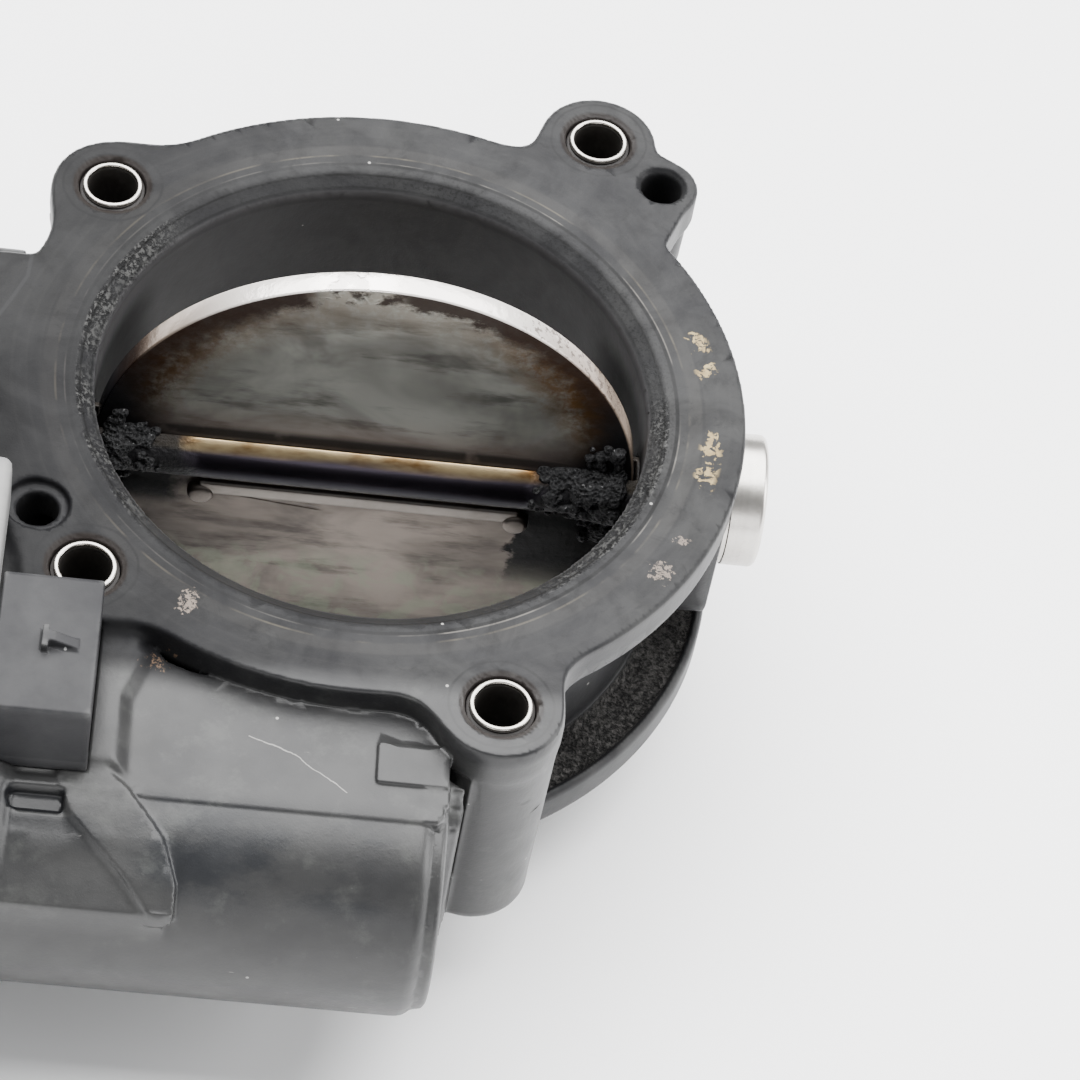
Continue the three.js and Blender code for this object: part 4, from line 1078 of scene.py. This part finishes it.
def plate_look():
    """Streaked alloy; u runs along the shaft and w up from it."""
    look = Look("plate_alloy", metallic=1.0)
    step, band, noise = look.step, look.band, look.noise
    most, blend, paint = look.most, look.blend, look.paint
    u, w = look.x, look.z - SHAFT_Z
    r = look.radius((0.0, SHAFT_Z), "y")
    cloud = noise(11, 4.0, 0.6, distort=0.5, stretch=(1.8, 1, 1), seed=2.0)
    streak = noise(4, 5.0, 0.65, stretch=(5, 1, 1), seed=5.0)
    # below the shaft the plate is painted darker, as shade, and warmer in tone
    upper = look.mix(step(cloud, 0.3, 0.66), srgb(124, 122, 117), srgb(184, 184, 176))
    lower = look.mix(step(cloud, 0.32, 0.68), srgb(92, 86, 82), srgb(142, 133, 125))
    look.coat(look.mix(step(w, -3.0, 1.0), lower, upper))
    smudge = step(streak, 0.5, 0.66) * step(noise(9, 3.0, seed=12.0), 0.35, 0.6)
    paint(smudge * 0.6, srgb(56, 51, 50))
    warm = step(w, 12.0, 4.0) * step(w, 0.0, 3.0)
    paint(warm * 0.5, srgb(164, 142, 132))
    tarnish = step(noise(5, 4.0, 0.6, distort=1.0, seed=14.0), 0.42, 0.6)
    paint(step(w, -15.0, -21.0) * tarnish * 0.35, srgb(132, 146, 124))

    # oil baked on in bands below the rim: gold, brown, then black
    ragged = r + (noise(2.2, 6.0, 0.7, seed=1.0, stretch=(1.6, 1, 1)) - 0.5) * 5.0
    top = step(w, 2.0, 9.0)
    sides = step(abs(u + 1.0), 10.0, 26.0)
    gold = step(ragged, 24.0, 31.0) * top * (0.35 + sides * 0.6)
    gold = gold * step(noise(1.6, 4.0, 0.7, seed=18.0), 0.3, 0.6, 0.4, 1.0)
    paint(gold, srgb(104, 72, 28))
    left_side = step(u, -6.0, -24.0)
    inner = 31.2 - (sides + left_side) * 3.6
    brown = step(ragged, inner, 32.6 + sides) * top
    worn = band(u, -4.0, 3.0, 4.0) * step(noise(2.4, 4.0, 0.6, seed=16.0), 0.4, 0.55)
    brown = brown * (1.0 - worn)
    paint(brown * 0.94, srgb(30, 16, 11))

    # soot gathers where the plate meets the bore beside the shaft
    climb = abs(w - 1.0) * 0.72
    rough_edge = abs(u + 1.0) + (noise(6, 5.0, 0.6, seed=4.0, stretch=(2, 1, 1)) - 0.5) * 6.0
    soot = step(rough_edge - climb, 13.0, 26.0) * step(w, -9.0, -3.0)
    # painted shade with soot in the crevice along the shaft's top
    crevice_shade_and_soot = band(w, 4.7, 0.4, 1.5) * step(noise(6, 3.0, seed=6.0), 0.2, 0.45)
    patch_edge = u + (noise(2.4, 5.0, 0.65, seed=9.0) - 0.5) * 5.0
    patch = step(patch_edge, 19.8, 20.8) * (step(w, -4.0, -5.0) * step(w, -22, -14))
    left = step(patch_edge, -21.5, -25.0) * band(w, -4.0, 4.0, 4.0)
    black = most(most(soot * 0.98, crevice_shade_and_soot * 0.9), most(patch, left) * 0.97)
    paint(black, srgb(8, 8, 11))

    # the shadow line under the strip
    below = band(w - noise(3, 2.0, seed=19.0) * 0.5, -7.35, 0.12, 0.4)
    paint(below * step(abs(u), 21.5, 20.0) * 0.85, srgb(24, 21, 22))

    # the rim is rubbed bright, painted brighter still on its upper part as a highlight, tinted towards its
    # sides
    rim = step(r, PLATE_R - 0.35, PLATE_R - 0.15)
    nicks = rim * step(noise(0.8, 4.0, 0.7, seed=8.0), 0.54, 0.58) * band(u, 24.0, 5.0, 4.0)
    bright = rim * (step(w, -2.0, 3.0) * step(u, -30.5, -26.5))
    tinted = step(abs(u), 14.0, 28.0)
    paint(bright, look.mix(tinted, srgb(232, 226, 220), srgb(132, 118, 106)))
    paint(nicks * 0.7, srgb(58, 44, 38))
    smear = noise(7, 5.0, 0.7, seed=11.0, distort=0.8)
    look.set("Metallic", blend(most(black, brown * 0.6), 1.0, 0.0))
    look.set("Specular IOR Level", 0.25)
    look.set("Roughness", blend(rim, blend(black, 0.3 + smear * 0.28, 0.55), 0.22))
    look.bump(noise(0.8, 3.0, 0.6, stretch=(4, 1, 1)), 0.02)
    look.bump(noise(1.3, 4.0, 0.6, seed=3.0) * most(black, brown), 0.1)
    groove = band(w + u * 0.12, -9.2, 0.1, 0.3) * band(u, -10.0, 3.0, 3.0)
    look.bump(groove, -0.2)
    look.bump(noise(8, 3.0, 0.5, seed=4.0, distort=0.6) * step(w, -5.0, -8.0), 0.3)
    return look


def strip_look():
    """The bar on the plate, darker along its lower edge."""
    look = metal("strip_alloy", srgb(132, 126, 120), srgb(172, 165, 158), 0.36, (6, 1, 1), 1.5)
    dark = look.step(look.noise(3.0, 4.0, 0.6, stretch=(3, 1, 1), seed=5.0), 0.5, 0.68)
    under = look.step(look.z, SHAFT_Z - 6.2, SHAFT_Z - 6.7)
    share = look.most(dark * 0.35, under * 0.5)
    look.paint(share, srgb(44, 40, 40))
    return look


def shaft_look():
    """Heat-tinted steel laid by height: gold on top as a painted highlight, plum below it, the underside
    painted dark as shade, then soot.
    """
    look = Look("shaft_steel", metallic=1.0)
    step, noise = look.step, look.noise
    w = look.z - SHAFT_Z + (noise(3.2, 3.0, stretch=(4, 1, 1)) - 0.5) * 1.1
    clouds = step(noise(4.5, 4.0, 0.6, stretch=(2.5, 1, 1), seed=3.0), 0.35, 0.62)
    gold = look.mix(clouds, srgb(112, 80, 44), srgb(182, 162, 126))
    # gold along the top stands in for the lit side, a painted highlight over the heat tint
    look.coat(look.mix(step(w, 2.3, 3.2), srgb(80, 74, 84), gold))
    # the underside painted near black as shade
    look.paint(step(w, 2.0, -0.4), srgb(27, 25, 32))
    inside = step(abs(look.x), 36.5, 35.5)
    reach = abs(look.x) + (noise(2.5, 4.0, seed=6.0) - 0.5) * 5.0
    soot = step(reach, 20.5, 24.0) * inside
    look.paint(soot * 0.95, srgb(9, 9, 10))
    look.paint(1.0 - inside, srgb(150, 148, 146))
    # painted shade in the seam where the plate meets the shaft's top
    seam_shade = inside * step(w, 3.75, 4.0)
    look.paint(seam_shade * 0.9, srgb(24, 22, 22))
    look.set("Metallic", look.blend(soot, 1.0, 0.1))
    look.set("Roughness", look.blend(soot, 0.24 + noise(5, 4.0, 0.6) * 0.14, 0.6))
    look.bump(noise(0.5, 2.0, 0.6, stretch=(8, 1, 1)), 0.01)
    look.bump(soot * noise(1.0, 4.0, 0.7, seed=2.0), 0.35)
    return look


def soot_look():
    """Wet black carbon in grains, with pale glints painted on."""
    look = Look("carbon_grains")
    grains = look.cells(0.5)
    look.coat(look.mix(look.step(grains, 0.2, 0.6), srgb(10, 10, 11), srgb(44, 44, 45)))
    # pale specks painted on as glints
    glint = look.step(look.noise(0.5, 2.0, 0.6, seed=3.0), 0.66, 0.72)
    look.paint(glint * 0.6, srgb(150, 150, 150))
    look.set("Specular IOR Level", 0.3)
    look.set("Roughness", look.blend(glint, 0.5, 0.25))
    look.bump(grains, 0.3)
    look.bump(look.noise(0.4, 3.0, 0.7), 0.25)
    return look


def cap_look():
    """Turned bright steel, with rings about the shaft."""
    look = metal("cap_steel", srgb(188, 184, 178), srgb(226, 222, 216), 0.27, (1, 1, 1), 0.5)
    bands = look.noise(0.9, 3.0, 0.5, at=look.rings(look.x), seed=4.0)
    look.paint(bands * 0.5, srgb(150, 146, 140))
    look.bump(look.noise(0.25, 2.0, 0.5, at=look.rings(look.x)), 0.02)
    return look


def rubber(name):
    look = Look(name)
    bloom = look.noise(4, 4.0, 0.6)
    look.coat(look.mix(bloom, srgb(22, 22, 23), srgb(48, 48, 50)))
    look.set("Roughness", 0.55 + bloom * 0.2)
    look.bump(look.noise(0.3, 2.0), 0.02)
    return look


def resin(name, dark, light, rough=0.45):
    """Plain moulded inner plastic."""
    look = Look(name)
    tone = look.noise(7, 4.0, 0.6)
    look.coat(look.mix(tone, dark, light))
    look.set("Roughness", rough - 0.08 + tone * 0.16)
    look.bump(look.noise(0.5, 3.0, 0.6), 0.012)
    return look


# ---------------------------------------------------------------- camera, floor and light
AZIMUTH, ELEVATION, ROLL = -7.59, 50.88, 11.59      # degrees
DISTANCE = 565.7 * MM
AIM = (20.77 * MM, -18.97 * MM)                     # the view's centre, right and up of the bore
LENS = 150.0


def camera_axes():
    """Directions across the picture, up it and back towards the camera."""
    az, el, roll = (math.radians(a) for a in (AZIMUTH, ELEVATION, ROLL))
    back = Vector((math.sin(az) * math.cos(el), -math.cos(az) * math.cos(el), math.sin(el)))
    right = (-back).cross(Vector((0, 0, 1))).normalized()
    up = right.cross(-back)
    across = math.cos(roll) * right + math.sin(roll) * up
    return across, math.cos(roll) * up - math.sin(roll) * right, back


def add_camera():
    right, up, back = camera_axes()
    camera = bpy.data.objects.new("camera", bpy.data.cameras.new("camera"))
    camera.data.lens = LENS
    camera.data.sensor_width = 36.0
    camera.data.clip_start = 0.01
    target = BORE + AIM[0] * right + AIM[1] * up
    turn = Matrix((right, up, back)).transposed().to_4x4()
    camera.matrix_world = Matrix.Translation(target + DISTANCE * back) @ turn
    bpy.context.scene.collection.objects.link(camera)
    bpy.context.scene.camera = camera


def add_area(name, place, size, power, toward):
    light = bpy.data.lights.new(name, "AREA")
    light.shape = "RECTANGLE"
    light.size, light.size_y = size
    light.energy = power
    lamp = bpy.data.objects.new(name, light)
    lamp.location = place
    lamp.rotation_euler = (Vector(place) - Vector(toward)).to_track_quat("Z", "Y").to_euler()
    bpy.context.scene.collection.objects.link(lamp)


def add_floor():
    data = bpy.data.meshes.new("floor")
    half = 3.0
    corners = [(-half, -half, 0), (half, -half, 0), (half, half, 0), (-half, half, 0)]
    data.from_pydata(corners, [], [(0, 1, 2, 3)])
    floor = bpy.data.objects.new("floor", data)
    bpy.context.scene.collection.objects.link(floor)
    look = Look("floor_paper", roughness=0.8)
    look.set("Base Color", look.mix(look.noise(60, 3.0), (0.94, 0.94, 0.945), (0.96, 0.96, 0.965)))
    look.wear(floor)


def add_light():
    world = bpy.data.worlds.new("studio")
    world.use_nodes = True
    world.node_tree.nodes["Background"].inputs["Color"].default_value = (0.96, 0.98, 1.0, 1)
    world.node_tree.nodes["Background"].inputs["Strength"].default_value = 0.32
    bpy.context.scene.world = world
    add_area("softbox_top", (0.0, 0.7, 1.6), (3.0, 2.3), 240, (0, 0.2, 0.03))
    add_area("card_front", (-0.2, -1.5, 0.42), (2.4, 0.6), 16, (0, 0, 0.05))
    add_area("softbox_right", (1.3, 0.0, 0.5), (0.6, 0.8), 17, (0, 0, 0.03))


# ---------------------------------------------------------------- pieces
def sculpt_lumps(step):
    """Carbon built up on the shaft and plate beside the bore's wall, most of it on the cap's side."""
    s = Sculpture((-34.9, -8, SHAFT_Z - 12), (34.9, 1.0, SHAFT_Z + 12), step)
    random = np.random.default_rng(7)

    def reach(depth):
        return math.sqrt((THROAT_R - 1.0) ** 2 - depth ** 2)

    for side, count, start in ((1, 190, 21.5), (-1, 80, 25.5)):
        for _ in range(count):
            part = random.random()
            x = start + (33.0 - start) * part ** 0.7
            angle = random.uniform(-2.7, 0.8) if side > 0 else random.uniform(-2.4, 0.3)
            r = random.uniform(0.35, 1.1) * (0.5 + 0.6 * part)
            y = min(-SHAFT_R * abs(math.cos(angle)), -PLATE_T / 2 - 0.1)
            x = side * min(x, reach(-y) - r)
            s.add(ball((x, y, SHAFT_Z - SHAFT_R * math.sin(angle)), r), soft=0.45)
    for side, count, low, high in ((1, 90, -9.0, 9.5), (-1, 30, -6.0, 7.0)):
        for _ in range(count):
            w = random.uniform(low, high)
            r = random.uniform(0.3, 0.85)
            inner = math.sqrt((PLATE_R - 1.2) ** 2 - w * w)
            x = inner - abs(random.normal(0, 2.4))
            s.add(ball((side * x, -PLATE_T / 2 - 0.15, SHAFT_Z + w), r), soft=0.4)
    return s


def ball(at, r):
    def distance(x, y, z):
        return np.sqrt((x - at[0]) ** 2 + (y - at[1]) ** 2 + (z - at[2]) ** 2) - r

    return Shape(distance, [c - r for c in at], [c + r for c in at])


def place(piece, body, node, slot, look):
    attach(piece, body)
    if node:
        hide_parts(node)
    look.wear(piece)


def make_sculpted():
    """Each body on a grid of its own step in mm, its flats thinned by its adaptivity."""
    housing = sculpt_housing(0.42).mesh("moulded_housing", 0.03)
    place(housing, "housing", "housing", "moulded_body", housing_look())
    cover = sculpt_cover(0.5).mesh("moulded_cover", 0.012)
    grey = plain_plastic("cover_plastic", srgb(116, 116, 116), srgb(138, 137, 135))
    place(cover, "housing", "gear_cover", "cover_plastic", grey)
    shroud = sculpt_shroud(0.2).mesh("plug_socket", 0.01)
    black = plain_plastic("plug_plastic", srgb(33, 33, 35), srgb(50, 50, 51))
    place(shroud, "housing", "connector_shroud", "moulded_body", black)
    shaft = sculpt_shaft(0.2).mesh("cross_shaft", 0.01)
    place(shaft, "throttle", "throttle_shaft", "shaft_steel", shaft_look())
    strip = sculpt_strip(0.2).mesh("plate_strip", 0.01)
    place(strip, "throttle", None, "plate_alloy", strip_look())
    lumps = sculpt_lumps(0.22).mesh("carbon_deposit")
    place(lumps, "throttle", None, "shaft_steel", soot_look())


def make_turned():
    steel = sleeve_look()
    for i, at in enumerate(BOLTS, 1):
        place(make_sleeve(i, at), "housing", f"bolt_sleeve_{i}", "sleeve_steel", steel)
    place(make_cap(), "housing", "bearing_cap", "cap_steel", cap_look())
    place(make_plate(), "throttle", "throttle_plate", "plate_alloy", plate_look())
    heads = metal("rivet_steel", srgb(112, 105, 99), srgb(150, 142, 135), 0.38)
    for i, x in enumerate((-RIVET_X, RIVET_X), 1):
        place(make_rivet(i, x), "throttle", f"plate_rivet_{i}", "rivet_steel", heads)
    place(make_spigot_ring(), "housing", "spigot_seal", "seal_rubber", rubber("seal_rubber"))


def dress_cad_nodes():
    """Materials for the inner pieces, which keep their CAD shapes."""
    steel = metal("bearing_steel", srgb(160, 160, 160), srgb(206, 205, 202), 0.22)
    dark_steel = metal("screw_steel", srgb(96, 94, 92), srgb(140, 138, 134), 0.34)
    spring = metal("spring_steel", srgb(96, 92, 86), srgb(142, 136, 128), 0.32)
    can = metal("can_steel", srgb(140, 140, 138), srgb(180, 179, 176), 0.36, (6, 1, 1))
    brass = metal("contact_brass", srgb(150, 116, 60), srgb(206, 172, 104), 0.28)
    copper = metal("winding_copper", srgb(120, 66, 40), srgb(190, 116, 74), 0.3, (1, 4, 4), 0.5)
    seal = rubber("inner_rubber")
    nylon = resin("gear_nylon", srgb(206, 199, 178), srgb(228, 222, 204))
    black = resin("motor_plastic", srgb(30, 30, 31), srgb(48, 48, 50))
    board = resin("circuit_board", srgb(20, 74, 46), srgb(34, 104, 66), 0.35)
    ferrite = resin("ferrite", srgb(44, 44, 47), srgb(66, 66, 70), 0.55)
    looks = {"cover_seal": seal, "gear_side_seal": seal, "cap_side_seal": seal, "gear_side_bearing": steel,
             "cap_side_bearing": steel, "intermediate_pin": steel, "motor_shaft": steel,
             "retaining_ring": spring, "return_spring": spring, "motor_wave_washer": spring,
             "sector_gear": nylon, "intermediate_gear": nylon, "sensor_magnet": ferrite,
             "sensor_board": board, "motor_can": can, "motor_end_plate": black, "motor_magnet_1": ferrite,
             "motor_magnet_2": ferrite, "motor_armature": copper, "motor_pinion": brass,
             "motor_screw_1": dark_steel, "motor_screw_2": dark_steel,
             **{f"connector_pin_{i}": brass for i in range(1, 7)},
             **{f"cover_screw_{i}": dark_steel for i in range(1, 7)}}
    for name, look in looks.items():
        nodes[name].material_slots[0].material = look.material


add_camera()
add_floor()
add_light()
make_sculpted()
make_turned()
dress_cad_nodes()
